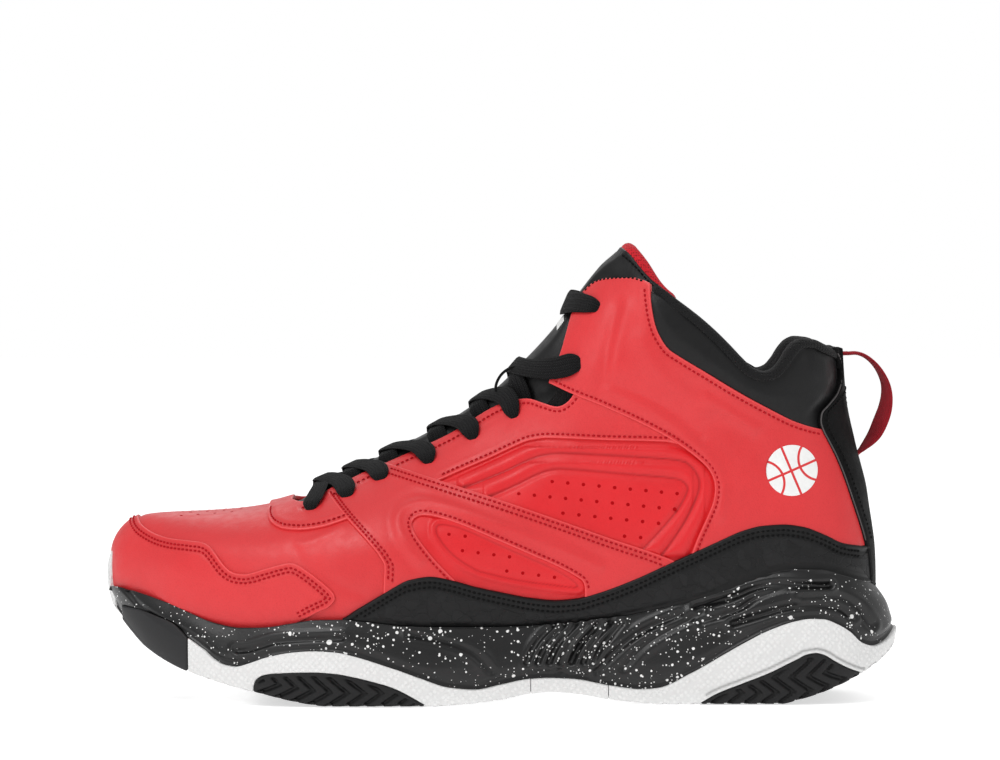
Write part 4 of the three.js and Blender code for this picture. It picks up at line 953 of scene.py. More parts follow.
def stitch_row(builder, path, side, height):
    """A row of lockstitches along a side-view line."""
    points, normals = on_skin(path, side, height)
    run = travelled(points)
    count = max(2, int(run[-1] / PITCH))
    middle = (np.arange(count) + 0.5) * run[-1] / count

    def at(s):
        return np.column_stack([np.interp(s, run, points[:, k]) for k in range(3)])

    n = np.column_stack([np.interp(middle, run, normals[:, k]) for k in range(3)])
    ahead = unit(at(middle + 0.3) - at(middle - 0.3), 1e-9)
    across = np.cross(n, ahead)
    centre = at(middle)
    ring = 6
    verts = []
    for s, share, lift in STITCH_PROFILE:
        thick = THREAD * share
        for c, d in circle(ring):
            verts.append(centre + ahead * (s * STITCH) + across * (c * thick) + n * (d * thick * 0.8 + lift))
    faces = [face[::-1] for face in swept_faces(len(STITCH_PROFILE), ring)]
    for v in np.stack(verts, axis=1):
        builder.add(v, faces)


def dimple(builder, x, z, side, height, radius):
    """A small punched dimple: a dark dish with a slightly raised lip."""
    p = skin_point(x, z, side)
    n = skin_normal(x, z, side)
    a = unit(np.cross(n, (0.0, 0.0, 1.0)))
    b = np.cross(n, a)
    rings = [(0.0, 0.06), (0.5, 0.07), (0.85, 0.08), (1.0, 0.07), (1.15, -0.1)]
    verts = [p + n * (height + rings[0][1])]
    for r, h in rings[1:]:
        for c, d in circle(12):
            verts.append(p + (a * c + b * d) * radius * r + n * (height + h))
    faces = [[0, 1 + k, 1 + (k + 1) % 12] for k in range(12)]
    for i in range(len(rings) - 2):
        for k in range(12):
            m = (k + 1) % 12
            faces.append([1 + i * 12 + k, 1 + (i + 1) * 12 + k, 1 + (i + 1) * 12 + m, 1 + i * 12 + m])
    builder.add(verts, faces)


# ---------------------------------------------------------------- the upper's panels

# How far over the skin each panel's face lies.
H_VAMP, H_EYE, H_TIP, H_FORE, H_REAR, H_CAP, H_FOX, H_STRIP = 0.0, 0.55, 1.0, 1.1, 1.15, 1.2, 1.7, 2.1
H_INSET, H_DROP = -0.5, -0.1


def flat(p, side, depth):
    return np.zeros(len(p)), np.zeros(len(p))


def ridge_line(xz, path, width, lift):
    """A soft raised line."""
    return lift * bell(line_distance(xz, path), width)


def groove_line(xz, path, width, depth):
    """A pressed line with a soft lip, and how much painted shade darkens it."""
    d = line_distance(xz, path)
    cut = bell(d, width)
    return -depth * cut + 0.4 * depth * bell(d - 2.2 * width, width), cut


def upper_piece(name, surface, outline, height, material, nodes, slot, holes=(), **options):
    """A panel cut along an outline. It replaces those CAD nodes."""
    inner = inside(surface, outline, holes)
    points, faces, shade = cut_piece(surface, inner, height, **options)
    return place(mesh_object(name, points, faces, shade), material, "shoe", nodes)


VAMP_PRESS = spline([(-76.5, 60), (-73, 60.2), (-66, 63), (-60, 66)])
VAMP_PRESS_LOW = spline([(-77.5, 58.5), (-76, 54.8), (-71, 51), (-65, 47.5), (-58, 43.5), (-52, 41.5)])


def vamp_relief(p, side, depth):
    xz = p[:, [0, 2]]
    lift = ridge_line(xz, VAMP_PRESS, 1.6, 0.45) - ridge_line(xz, VAMP_PRESS_LOW, 2.0, 0.4)
    return lift * (side < 0), np.zeros(len(p))


FORE_RIDGE = spline([
    (-31, 54), (-36, 60), (-38.5, 65), (-38.8, 69.5), (-36, 73), (-30, 74.5), (-22, 73.6), (-8, 69.3),
    (8, 63.5), (24, 57), (36, 51.5),
])


def fore_relief(p, side, depth):
    xz = p[:, [0, 2]]
    lift = ridge_line(xz, FORE_RIDGE, 1.7, 0.75) - ridge_line(xz, beside(FORE_RIDGE, 3.6), 1.8, 0.35)
    return lift, np.zeros(len(p))


INSET_EDGE = chain(
    spline([
        (-24, 82), (-15, 85.8), (-5, 90.3), (0, 92.6), (6, 95.4), (10, 97), (17, 98), (40, 97.4), (60, 97),
        (64, 96), (70, 93.3), (75, 89.8), (78, 86), (79, 82), (78.5, 77), (76, 70), (73, 63), (69, 54),
    ]),
    along(band_z, 62, -24, 0.5),
)
INSET_ONE = chain(
    spline([
        (-15, 80.6), (0, 86.5), (10, 91.2), (17, 93.2), (25, 93.5), (45, 92.5), (65, 91), (70, 89),
        (73, 85), (73.5, 81), (72, 76), (68, 68), (62, 59), (58, 54),
    ]),
    along(band_z, 58, -13, -1.0),
)
INSET_TWO = chain(
    spline([
        (-5, 77.6), (5, 82), (12, 85.5), (18, 87.5), (25, 87.7), (45, 86), (62, 84.5), (67, 83.3),
        (69, 81), (68.5, 78), (65, 72), (60, 66), (54, 59.5), (51, 56),
    ]),
    along(band_z, 52, -4, -2.0),
)


def terraces(xz, contours, lifts, floor):
    """Rounded welts between nested contours, a level field inside the last, and painted shade along the inner
    contours.
    """
    depth = [outline_distance(xz, c)[0] for c in contours]
    lift = np.zeros(len(xz))
    shade = np.zeros(len(xz))
    for a, b, h in zip(depth, depth[1:], lifts):
        t = np.clip(a / np.maximum(a - b, 1e-6), 0, 1)
        between = (a > 0) & (b <= 0)
        lift = np.where(between, h * np.sin(math.pi * t), lift)
    lift = np.where(depth[-1] > 0, floor * smoothstep(0.2, 2.4, depth[-1]), lift)
    # Painted shade along each inner contour, in the groove where the welts meet.
    for d in depth[1:]:
        shade = np.maximum(shade, 0.8 * bell(d, 0.55))
    return lift, shade


def inset_relief(p, side, depth):
    return terraces(p[:, [0, 2]], [INSET_EDGE, INSET_ONE, INSET_TWO], [1.35, 1.35], 0.6)


DROP_FIELD = spline([
    (-9, 49.5), (-14, 52.3), (-19, 56), (-23, 60.5), (-25.2, 64.5), (-24.5, 67.3), (-20, 67.4), (-12, 65),
    (0, 59.6), (10, 55.2), (20, 50.6), (26.5, 46.6), (28.6, 44), (27, 43.2), (18, 44.2), (8, 45.6),
    (0, 47.2),
])


def drop_relief(p, side, depth):
    d = outline_distance(p[:, [0, 2]], DROP_FIELD)[0]
    # The second value is painted shade just inside the field's edge, at the foot of the raised rim.
    return 0.9 * bell(d + 0.9, 1.2) + 0.25 * smoothstep(0, 3, d), 0.7 * bell(d - 0.5, 0.4)


# Soft creases of the rear quarter: the line, its width and its height.
CREASES = [
    (spline([(43.5, 148), (40, 134), (37.5, 118.5)]), 2.4, -0.825),
    (spline([(46.5, 147), (43, 134), (41, 121)]), 3.0, 0.675),
    (spline([(38, 117.5), (50, 112.5), (62, 105.5), (71, 98), (78, 89.5), (82, 80), (81, 70)]), 2.2, 0.75),
    (spline([(40, 120.5), (52, 115.5), (64, 108.5), (74, 100)]), 2.2, -0.525),
    (spline([(76, 114.5), (85, 108.5), (94.5, 102.6)]), 1.8, 0.825),
    (spline([(52, 136), (58, 124), (66, 117), (76, 111)]), 3.2, 0.675),
    (spline([(66, 99), (80, 103), (92, 98), (99, 88)]), 5.0, -0.525),
]


def rear_relief(p, side, depth):
    lift = sum(ridge_line(p[:, [0, 2]], path, width, height) for path, width, height in CREASES)
    return lift * smoothstep(0, 4, depth), np.zeros(len(p))


def sewn(relief, rows):
    """Adds a pressed channel under each row of stitches, darkened with painted shade."""

    def pressed(p, side, depth):
        lift, shade = relief(p, side, depth)
        for row in rows:
            d = line_distance(p[:, [0, 2]], row[::6])
            channel = bell(d, 0.6)
            lift = lift - 0.22 * channel + 0.10 * bell(d - 1.3, 0.6)
            shade = np.maximum(shade, 0.30 * channel)
        return lift, shade

    return pressed


def rolled_edge(width, lift):
    """A folded edge: a soft welt along the rim, then a pressed line where it is sewn down, darkened with
    painted shade.
    """

    def relief(p, side, depth):
        welt = lift * bell(depth - width / 2, width / 2.2)
        press = bell(depth - width * 1.25, 0.5)
        return welt - 0.25 * press, 0.5 * press

    return relief


BALL_AT, BALL_RADIUS, PRINT_LIFT = (108, 87), 9.5, 0.16
BALL = np.array([
    (BALL_AT[0] + BALL_RADIUS * math.cos(t), BALL_AT[1] + BALL_RADIUS * math.sin(t))
    for t in np.linspace(0, 6.283, 72)[:-1]
])


def print_relief(p, side, depth):
    """Follows the creases of the rear quarter under it."""
    return rear_relief(p, side, depth + BALL_RADIUS)[0], np.zeros(len(p))


def rows_at(height):
    return [line for line, h in RED_ROWS if h == height]


def upper():
    red, smooth, slot, black = M["red"], M["red_smooth"], "red_leather", "black_leather"
    upper_piece(
        "vamp_skin", SKIN, VAMP, H_VAMP, red, ["vamp", "toe_puff"], slot, [THROAT], relief=vamp_relief,
    )
    upper_piece("toe_cap_skin", SKIN, CAP, H_CAP, red, ["toe_cap"], slot, relief=sewn(flat, rows_at(H_CAP)))
    upper_piece(
        "throat_overlay_skin", SKIN, THROAT_PIECE, H_TIP, red, ["throat_overlay"], slot, [THROAT],
        relief=sewn(flat, rows_at(H_TIP)),
    )
    for side, name in SIDE_NAMES.items():
        one = {"sides": (side,)}
        upper_piece(
            f"forequarter_skin_{name}", SKIN, FOREQUARTER, H_FORE, red, [f"forequarter_{name}"], slot,
            [THROAT, TEARDROP], relief=sewn(fore_relief, rows_at(H_FORE)), **one,
        )
        upper_piece(
            f"inset_lower_skin_{name}", FINE, beside(TEARDROP, 3.0), H_DROP, smooth, [f"inset_lower_{name}"],
            slot, relief=drop_relief, **one,
        )
        upper_piece(
            f"eyestay_skin_{name}", SKIN, EYESTAY, H_EYE, red, [f"eyestay_{name}", f"eyelet_stay_{name}"],
            slot, [THROAT], relief=sewn(flat, rows_at(H_EYE)), **one,
        )
        upper_piece(
            f"inset_upper_skin_{name}", FINE, INSET, H_INSET, smooth, [f"inset_upper_{name}"], slot,
            relief=inset_relief, **one,
        )
        upper_piece(
            f"rear_quarter_skin_{name}", SKIN, REAR, H_REAR, red, [f"rear_quarter_{name}"], slot,
            [THROAT], relief=sewn(rear_relief, rows_at(H_REAR)), **one,
        )
        upper_piece(
            f"foxing_skin_{name}", SKIN, FOXING, H_FOX, M["foxing"], [f"foxing_{name}"], black,
            relief=rolled_edge(1.7, 0.35), bevel=0.8, **one,
        )
        upper_piece(
            f"side_emblem_print_{name}", SKIN, BALL, H_REAR + PRINT_LIFT,
            print_ball(f"ball_print_{name}", BALL_AT), [f"side_emblem_{name}"], "white_print",
            rim=H_REAR - 0.1, bevel=0.1, relief=print_relief, **one,
        )
    upper_piece(
        "heel_strip_skin", SKIN, STRIP, H_STRIP, M["strip"], ["heel_strip", "heel_counter"], black,
        relief=rolled_edge(1.3, 0.25), bevel=1.3,
    )


# Rows of stitches: the line, and how far over the skin it lies.
RED_ROWS = [
    (beside(CAP_EDGE[6:-3], -1.9), H_CAP),
    (beside(CAP_EDGE[6:-3], -3.3), H_CAP),
    (beside(D_EDGE[8:-4], 1.4), H_TIP),
    (up_along(seam_x, 47, 77.6, 1.6), H_FORE),
    (up_along(seam_x, 46, 77.0, 3.2), H_FORE),
    (along(band_z, -42, 59.5, -1.5), H_FORE),
    (along(band_z, -43, 61.5, -3.4), H_FORE),
    (beside(TEARDROP[3:-6], 1.4), H_FORE),
    (along(inset_top_z, -23, 62, 1.5), H_EYE),
    (beside(REAR_EDGE, 1.6)[2:-6], H_REAR),
    (beside(along(throat_edge_z, -76, -67, 0), -2.3), H_TIP),
    (beside(along(throat_edge_z, -65, -45, 0), -2.3), H_FORE),
    (beside(along(throat_edge_z, -43, 3, 0), -2.3), H_EYE),
    (beside(NOTCH, -1.8)[:-2], H_EYE),
    (beside(chain(COLLAR_FRONT[2:], along(collar_seam_z, 76, 119, 0)), -2.0), H_REAR),
]
BLACK_ROWS = [
    (along(foxing_z, -55, 133, -2.2), H_FOX),
    (along(foxing_z, -52, 133, -3.9), H_FOX),
    (up_along(strip_x, 60, 124, 2.4), H_STRIP),
    (beside(THROAT_TOP, -0.5)[34:-2], H_REAR - 0.1),
]
INSET_DOTS = [
    ((18.5, 83), (65.2, 78.5), 9), ((6, 78.5), (64.3, 72.7), 11), ((22.5, 71.3), (58.2, 67.5), 7),
    ((45.5, 62.7), (51.5, 62.2), 2),
]
DROP_DOTS = [((-20, 63.7), (-14, 63), 2), ((-15, 57.7), (2.5, 55.3), 4), ((1.5, 50), (19.3, 47.5), 4)]


PIPING_RADIUS, DOT_RADIUS, TOE_DOT_RADIUS, DOT_LIFT = 0.32, 0.62, 0.55, 0.13
# The toe's rows of punched dots: how far from the middle line, and how many.
TOE_DOTS = ((0, 5), (6.5, 4), (13, 4))
TOE_DOT_X, TOE_DOT_STEP = -122, 6.4


def strip_piping():
    """The painted cut edge of the heel strip, along its front."""
    edge = Builder()
    for side in (-1, 1):
        path = up_along(strip_x, 60, 131, 0.0, 2.0)
        path[:, 0] += lerp(0.25, 0.02, smoothstep(106, 118, path[:, 1]))
        points, _ = on_skin(path, side, H_STRIP - 0.35)
        tube(edge, points[::3], PIPING_RADIUS, 8)
    place(edge.make("heel_strip_edge"), M["piping"], "shoe", ())


def needlework():
    """The stitches on the upper, and the dots punched in its insets and toe."""
    for name, rows, material, slot in (
        ("stitches_red", RED_ROWS, M["stitch"], "red_leather"),
        ("stitches_black", BLACK_ROWS, M["stitch_black"], "black_leather"),
    ):
        builder = Builder()
        for path, height in rows:
            for side in (-1, 1):
                stitch_row(builder, path, side, height + 0.02)
        place(builder.make(name), material, "shoe", ())
    dots = Builder()
    for a, b, count in INSET_DOTS + DROP_DOTS:
        for k in np.linspace(0, 1, count):
            for side in (-1, 1):
                dimple(dots, lerp(a[0], b[0], k), lerp(a[1], b[1], k), side, DOT_LIFT, DOT_RADIUS)
    for row, (y, count) in enumerate(TOE_DOTS):
        for k in range(count):
            x = TOE_DOT_X + TOE_DOT_STEP * (k + 0.5 * (row % 2))
            for side in (-1, 1) if y else (1,):
                dimple(dots, x, height_at(x, y, side), side, 0.0, TOE_DOT_RADIUS)
    place(dots.make("punched_dots"), M["hole"], "shoe", ())


def height_at(x, y, side):
    """The height of the skin at a distance y from its middle line."""
    z = np.linspace(roof_z(x) - 22, roof_z(x), 400)
    return float(np.interp(-y, -half_width(side, x, z), z))


# ---------------------------------------------------------------- the padded collar

# The section of the collar's lining: how far below the top line, and how far out of the skin.
COLLAR_PROFILE = [
    (3.4, 0.5), (2.9, 1.15), (2.0, 1.35), (1.0, 1.1), (0.25, 0.3), (-0.15, -1.0), (-0.25, -2.6), (0.1, -4.4),
    (0.9, -6.2), (2.2, -8.0), (4.2, -9.6), (7, -10.9), (11, -11.6), (15, -11.7), (19, -11.2), (24, -10.2),
    (30, -9.4), (36, -9.2), (44, -9.1), (54, -9.0),
]


def collar_stations():
    """Points along the collar's top line, and the direction down from it in the side view."""
    t = np.linspace(0, 1, 150)
    x = lerp(57.5, 127.15, 1 - (1 - t) ** 1.8)
    z = collar_z(x)
    slope = (collar_z(x + 0.4) - collar_z(x - 0.4)) / 0.8
    return x, z, unit(np.column_stack([slope, -np.ones_like(slope)]))


def profile_points(side, profile, fade):
    """The collar's section, swept along its top line."""
    x, z, down = collar_stations()
    rings = []
    for d, h in profile:
        near = min(d, 3.5)
        px = x + down[:, 0] * near
        pz = z + down[:, 1] * near - (d - near)
        px = np.minimum(px, back_x(pz) - 0.02)
        ring = skin_point(px, pz, side) + skin_normal(px, pz, side) * lerp(-1.5, h, fade)[:, None]
        ring[-1, 1] = middle_y(127)
        rings.append(ring)
    return np.stack(rings, axis=1)


def puff(p, side, depth):
    """The swell of the padded leather, gone where the heel strip is sewn over it."""
    swell = 2.3 * (1 - np.exp(-np.clip(depth - 1.0, 0, None) / 5.0))
    strip = strip_x(p[:, 2])
    swell = swell * (1 - smoothstep(strip - 7, strip - 0.5, p[:, 0]))
    return swell * smoothstep(0, 3, depth), np.zeros(len(p))


def collar():
    """The rolled lining along the opening, and the padded leather under its edge."""
    fade = np.clip((collar_stations()[0] - 56) / 14, 0.25, 1)
    profile = spline(COLLAR_PROFILE, 0.8)
    surface = Surface([(profile_points(side, profile, fade), side) for side in (-1, 1)])
    obj = mesh_object("collar_lining_roll", surface.points, surface.tris[:, ::-1])
    place(obj, M["lining"], "shoe", ["collar_lining", "collar_foam"])
    outline = chain(
        beside(COLLAR_LINE, -2.6), [(134, 128), (134, 96)], along(collar_seam_z, 124, 76, -2.5),
        beside(COLLAR_FRONT, -2.5)[::-1],
    )
    for side, name in SIDE_NAMES.items():
        obj = upper_piece(
            f"collar_leather_{name}", SKIN, outline, 0.1, M["collar"], [f"collar_panel_{name}"],
            "black_leather", relief=puff, bevel=1.0, sides=(side,),
        )


# ---------------------------------------------------------------- linings and footbed


def footbed():
    """The sockliner: a dished, cloth-topped insole."""
    x = lerp(-141.5, 130.5, (1 - np.cos(np.linspace(0, math.pi, 150))) / 2)
    across = np.linspace(0, 1, 24)
    grids = []
    for side in (-1, 1):
        half = np.maximum(half_width(side, x, board_z(x) + 5) - 9.0, 0.3)
        y = middle_y(x)[:, None] + side * half[:, None] * across[None, :]
        z = (board_z(x) + 2.5)[:, None] + (2.4 * across**6)[None, :] + 0 * y
        z[:, -1] -= 4.5
        grids.append((np.stack([np.broadcast_to(x[:, None], y.shape), y, z], axis=-1), side))
    surface = Surface(grids)
    upward = surface.normals[:, 2].mean() > 0
    obj = mesh_object("sockliner_cloth", surface.points, surface.tris if upward else surface.tris[:, ::-1])
    place(obj, M["lining"], "sockliner", ["sockliner"])


def linings():
    """The cloth lining inside the upper, up to the throat's edge."""
    outline = chain(
        hem(-152, 136, -1),
        [(136, 60), (134.5, 100), (56, 150), (54, 156.4), (41, 156), (37, 154.2), (33, 150)],
        [(30, 144), (27.6, 136.5), (25, 128.5), (21, 119.5), (15, 112.5), (6, 108.5), (-2, 104), (-20, 94)],
        [(-44, 83.5), (-66, 73), (-79, 66), (-79.5, 120), (-160, 120)],
    )
    upper_piece(
        "inner_lining", SKIN, outline, -2.9, M["lining"], ["vamp_lining"], "black_mesh",
        rim=-3.6, bevel=0.4, flip=True,
    )


# ---------------------------------------------------------------- the tongue

TONGUE_REAR = spline([
    (63, 153), (53.5, 140.5), (44, 128), (34, 114.5), (22, 101.5), (5, 90), (-15, 80), (-40, 73),
    (-60, 68), (-79, 64),
])
FACE_TOP = spline([(39, 176), (43.6, 172.2), (47.6, 168.4), (51.6, 163.4), (56, 159), (60, 155.8), (63, 153)])
ROLL_TOP = spline([
    (38, 184), (43.4, 175.8), (47.2, 173.8), (50.2, 170.2), (54, 165.6), (58, 160.2), (62, 155.4),
    (64.5, 152),
])
TONGUE_DROP = 1.0


def tongue_sink(x, wide, edge):
    """How far the tongue lies under the skin, deeper towards its edges."""
    sink = lerp(0.4, 6.8, smoothstep(edge * 0.5, edge * 1.0, wide))
    return sink + 0.5 * smoothstep(-60, -79, x) + 4.2 * smoothstep(45, 60, x)


def throat_reach(x, side):
    """How far the throat's edge is from the middle line."""
    return np.maximum(half_width(side, x, np.minimum(throat_edge_z(x), roof_z(x))), 9)


def tongue_surface():
    grids = []
    for side in (-1, 1):
        grid = skin_grid(230, 110, side, -80, 66, 0.3, even=True)
        x, z = grid[..., 0], grid[..., 2]
        n = skin_normal(x, z, side)
        wide = np.abs(grid[..., 1] - middle_y(x))
        sink = tongue_sink(x, wide, throat_reach(x, side))
        grids.append((grid - n * sink[..., None], side))
    return Surface(grids)


def tongue_swell(x):
    """How far the tongue's padding swells up: most where it stands up between the laces."""
    return lerp(3.0, 1.2, smoothstep(0, 26, x))


def tongue_pad(p, side, depth):
    """The padded face, pressed in along its seam, with painted shade in that seam."""
    swell = tongue_swell(p[:, 0]) * smoothstep(1, 12, depth) - TONGUE_DROP
    seam = bell(depth - 2.2, 0.5)
    return swell - 0.15 * seam, 0.3 * seam


def roll_front(p, side, depth, radius=3.0):
    """The quarter round at the rim of the tongue's lining."""
    round_ = np.sqrt(np.clip(1 - (1 - np.clip(depth / radius, 0, 1)) ** 2, 0, 1))
    return radius * round_ - radius, np.zeros(len(p))


def roll_rear(p, side, depth):
    lift, shade = roll_front(p, side, depth)
    return -lift, shade


def tongue():
    surface = tongue_surface()
    outline = chain([(-79, 64), (-79, 120), (-10, 190)], FACE_TOP, TONGUE_REAR)
    inner = inside(surface, outline)
    points, faces, shade = cut_piece(surface, inner, 0.0, rim=-3.5, bevel=0.9, relief=tongue_pad)
    obj = mesh_object("tongue_leather", points, faces, shade)
    place(obj, M["tongue"], "tongue", ["tongue_face"])
    outline = chain([(-78, 66), (-78, 120), (-10, 190)], ROLL_TOP, TONGUE_REAR + np.array([1.5, -1.0]))
    inner = inside(surface, outline)
    p1, f1, s1 = cut_piece(surface, inner, -1.3, rim=-4.4, bevel=0.2, relief=roll_front)
    p2, f2, s2 = cut_piece(surface, inner, -7.0, rim=-4.2, bevel=0.2, relief=roll_rear, flip=True)
    points, faces = np.vstack([p1, p2]), np.vstack([f1, f2 + len(p1)])
    obj = mesh_object("tongue_mesh_lining", points, faces, np.concatenate([s1, s2]))
    place(obj, M["mesh"], "tongue", ["tongue_lining", "tongue_foam"])
    stitches = Builder()
    for side in (-1, 1):
        stitch_row(stitches, beside(FACE_TOP, -2.4)[9:-12], side, tongue_seam_lift)
    place(stitches.make("stitches_tongue"), M["stitch_black"], "tongue", ())
    tongue_label()


def tongue_seam_lift(p, side):
    """How far over the skin the tongue's face lies along its top seam."""
    x = p[:, 0]
    wide = np.abs(p[:, 1] - middle_y(x))
    return 0.1 * tongue_swell(x) - TONGUE_DROP - tongue_sink(x, wide, throat_reach(x, side)) + 0.1


# The printed bars: their lower and upper ends along the tongue, and their half length.
LABEL_BARS = ((20.6, 23.2, 11.0), (24.6, 26.4, 8.5))
LABEL_LIFT = 0.15


def tongue_label():
    """Two plain white bars printed across the tongue."""
    builder = Builder()
    across, steps = 25, 5
    u = np.linspace(-1, 1, across)
    side = np.where(u < 0, -1.0, 1.0)
    faces = [
        [i * across + j, (i + 1) * across + j, (i + 1) * across + j + 1, i * across + j + 1]
        for i in range(steps - 1) for j in range(across - 1)
    ]
    for x0, x1, reach in LABEL_BARS:
        rows = []
        for x in np.linspace(x0, x1, steps):
            at = np.full(across, x)
            z = np.array([height_at(x, abs(v) * reach, s) for v, s in zip(u, side)])
            sink = tongue_sink(at, np.abs(u) * reach, throat_reach(at, side))
            lift = tongue_swell(at) - TONGUE_DROP - sink + LABEL_LIFT
            rows.append(skin_point(at, z, side) + skin_normal(at, z, side) * lift[:, None])
        builder.add(np.stack(rows).reshape(-1, 3), faces)
    place(builder.make("tongue_print"), M["label"], "tongue", ["tongue_label"])


# ---------------------------------------------------------------- the laces

EYELETS = [
    (-72, 71), (-58, 75.8), (-45.5, 82), (-27.7, 88.8), (-11, 97.8), (4.5, 106), (30.3, 127), (37.3, 147.3),
]
# Where each pair of rows crosses the middle line.
RIDGE_X = {(0, 1): -67.5, (1, 2): -56.5, (2, 3): -42.5, (3, 4): -24, (4, 5): -8, (5, 6): 6.5, (7, 7): 25.5}
lace_lift = curve([(-75, 2.4), (-58, 2.2), (-48, 2.0), (10, 1.9), (60, 1.9)])
LACE_WIDTH, LACE_THICK = 7.8, 1.4
HIDDEN_WIDTH, HIDDEN_DEPTH, TAIL_DEPTH = 4.0, -5.4, -5.6
TIP_RADIUS, LOOP_RADIUS = 1.25, 0.55


def lace_line(q, top_x, eyelet):
    """The side-view line of a lace from the ridge (q 0) to its eyelet (q 1), where it turns straight down."""
    steep = top_x < eyelet[0] < 20
    share = np.sin(q * math.pi / 2) ** 1.15 if steep else q**1.8
    x = lerp(top_x, eyelet[0], share)
    fall = (ridge_z(eyelet[0]) - eyelet[1]) * q ** (2.1 if steep else 1.8)
    z = np.minimum(ridge_z(x) - fall, roof_z(x) - 0.01)
    return x, z


def crossing(i, j, start_side, samples=120):
    """Centre points, normals and widths of a lace from eyelet i over the tongue to eyelet j."""
    q = np.linspace(-1, 1, samples)
    side = np.where(q < 0, start_side, -start_side).astype(float)
    reach = np.abs(q)
    top_x = RIDGE_X[(i, j)]
    first = lace_line(reach, top_x, EYELETS[i])
    last = lace_line(reach, top_x, EYELETS[j])
    x, z = np.where(q < 0, first[0], last[0]), np.where(q < 0, first[1], last[1])
    p = skin_point(x, z, side)
    slope = (ridge_z(x + 1) - ridge_z(x - 1)) / 2
    up = unit(np.column_stack([-slope, np.zeros_like(slope), np.ones_like(slope)]))
    n = unit(lerp(up, skin_normal(x, z, side), smoothstep(0, 0.8, reach)[:, None]))
    edge = half_width(side, x, throat_edge_z(x))
    wide = np.abs(p[:, 1] - middle_y(x))
    lift = lace_lift(x)
    if start_side > 0 and i != j:
        lift = lift + 1.4 * (1 - smoothstep(0, 0.5, reach))
    if 0 < i != j:
        under = np.where(q < 0, smoothstep(edge * 0.62, edge * 1.05, wide), 0)
        lift = lerp(lift, -4.0, under)
    run = travelled(p)
    width = np.full(samples, LACE_WIDTH)
    if j == 6:
        width = LACE_WIDTH * lerp(1.0, 1.2, smoothstep(0.2, 1, reach))
    if j == 7:
        width = LACE_WIDTH * lerp(1.3, 0.85, smoothstep(0.2, 1, reach))
    for gap, on in ((run[-1] - run, True), (run, i in (0, 7))):
        if on:
            near = 1 - np.clip(gap / 6.5, 0, 1)
            lift = lift - 2.6 * near**4
            width = width * np.maximum(0.10, np.sqrt(1 - near**2))
    return p + n * lift[:, None], n, width


def ribbon_section():
    """Half widths and heights around a flat band with soft edges, slightly dished."""
    top = [-1, -0.93, -0.7, -0.35, 0, 0.35, 0.7, 0.93, 1]
    around = [(s, 0.5) for s in top] + [(s, -0.5) for s in top[-2:0:-1]]
    return [(s, half * (1 - abs(s) ** 5) + 0.10 * s**2) for s, half in around]


def ribbon(builder, points, normals, width, thick, twist=0.0):
    """A soft flat band swept along the points."""
    run = unit(np.gradient(points, axis=0), 1e-9)
    across = unit(np.cross(run, normals), 1e-9)
    up = np.cross(across, run)
    far = travelled(points)
    if twist:
        t = twist * np.sin((far / far[-1]) ** 2 * math.pi)[:, None]
        across, up = across * np.cos(t) + up * np.sin(t), up * np.cos(t) - across * np.sin(t)
    section = ribbon_section()
    verts = [points + across * (s * width / 2)[:, None] + up * (h * thick) for s, h in section]
    uv = [np.column_stack([far * MM, s * width / 2 * MM]) for s, _ in section]
    faces = swept_faces(len(points), len(section))
    builder.add(np.stack(verts, axis=1), faces, np.stack(uv, axis=1).reshape(-1, 2))


def tube(builder, points, radius, ring=10):
    """A round cord swept along the points."""
    run = unit(np.gradient(points, axis=0))
    a = unit(np.cross(run, (0.0, 1.0, 0.1)))
    b = np.cross(run, a)
    radius = np.broadcast_to(radius, len(points))[:, None]
    verts = [points + (a * c + b * d) * radius for c, d in circle(ring)]
    far = travelled(points)
    uv = [np.column_stack([far, np.full(len(points), k * 0.4)]) * MM for k in range(ring)]
    faces = swept_faces(len(points), ring)
    builder.add(np.stack(verts, axis=1), faces, np.stack(uv, axis=1).reshape(-1, 2))


# Inside the shoe: the runs between the two upper rows, the tails, and their tips with how deep they lie.
UPPER_RUN = [EYELETS[6], (34, 137), EYELETS[7]]
TAILS = {
    -1: [EYELETS[5], (9, 100), (12, 92), (14, 84)],
    1: [EYELETS[7], (38.5, 140), (38.5, 126), (36.5, 110)],
}
TAIL_TIPS = {
    -1: ("aglet_lateral", [(14.1, 83.6), (17, 64)], -7.2),
    1: ("aglet_medial", [(36.4, 109.6), (34.5, 90)], -5.1),
}
LOOSE_LOOP = spline([
    (-2, -9, 114), (-2.6, -9.5, 118), (-0.8, -9, 122), (2.4, -8, 124.6), (6, -8, 125.2), (10, -9, 124),
])


def laces():
    """The bar over the top, the crossings under it, the hidden runs and tails, and the tips."""
    builder = Builder()
    ribbon(builder, *crossing(7, 7, -1), LACE_THICK, 0.25)
    for i in range(6):
        for side in (-1, 1):
            ribbon(builder, *crossing(i, i + 1, side), LACE_THICK)
    hidden = [(UPPER_RUN, side, HIDDEN_DEPTH) for side in (1, -1)]
    hidden += [(path, side, TAIL_DEPTH) for side, path in TAILS.items()]
    for path, side, depth in hidden:
        points, normals = on_skin(path, side, depth)
        ribbon(builder, points, normals, np.full(len(points), HIDDEN_WIDTH), LACE_THICK)
    tube(builder, LOOSE_LOOP, LOOP_RADIUS)
    place(builder.make("lace_weave"), M["lace"], "shoe", ["lace"])
    for side, (node, path, depth) in TAIL_TIPS.items():
        tip = Builder()
        points, _ = on_skin(path, side, depth)
        points = points[:: max(1, len(points) // 30)]
        t = np.linspace(0, 1, len(points))
        tube(tip, points, TIP_RADIUS * (1 - 0.25 * np.clip((t - 0.85) / 0.15, 0, 1)), 14)
        place(tip.make(f"{node}_tip"), M["tip"], "shoe", [node])


# ---------------------------------------------------------------- the pull loop

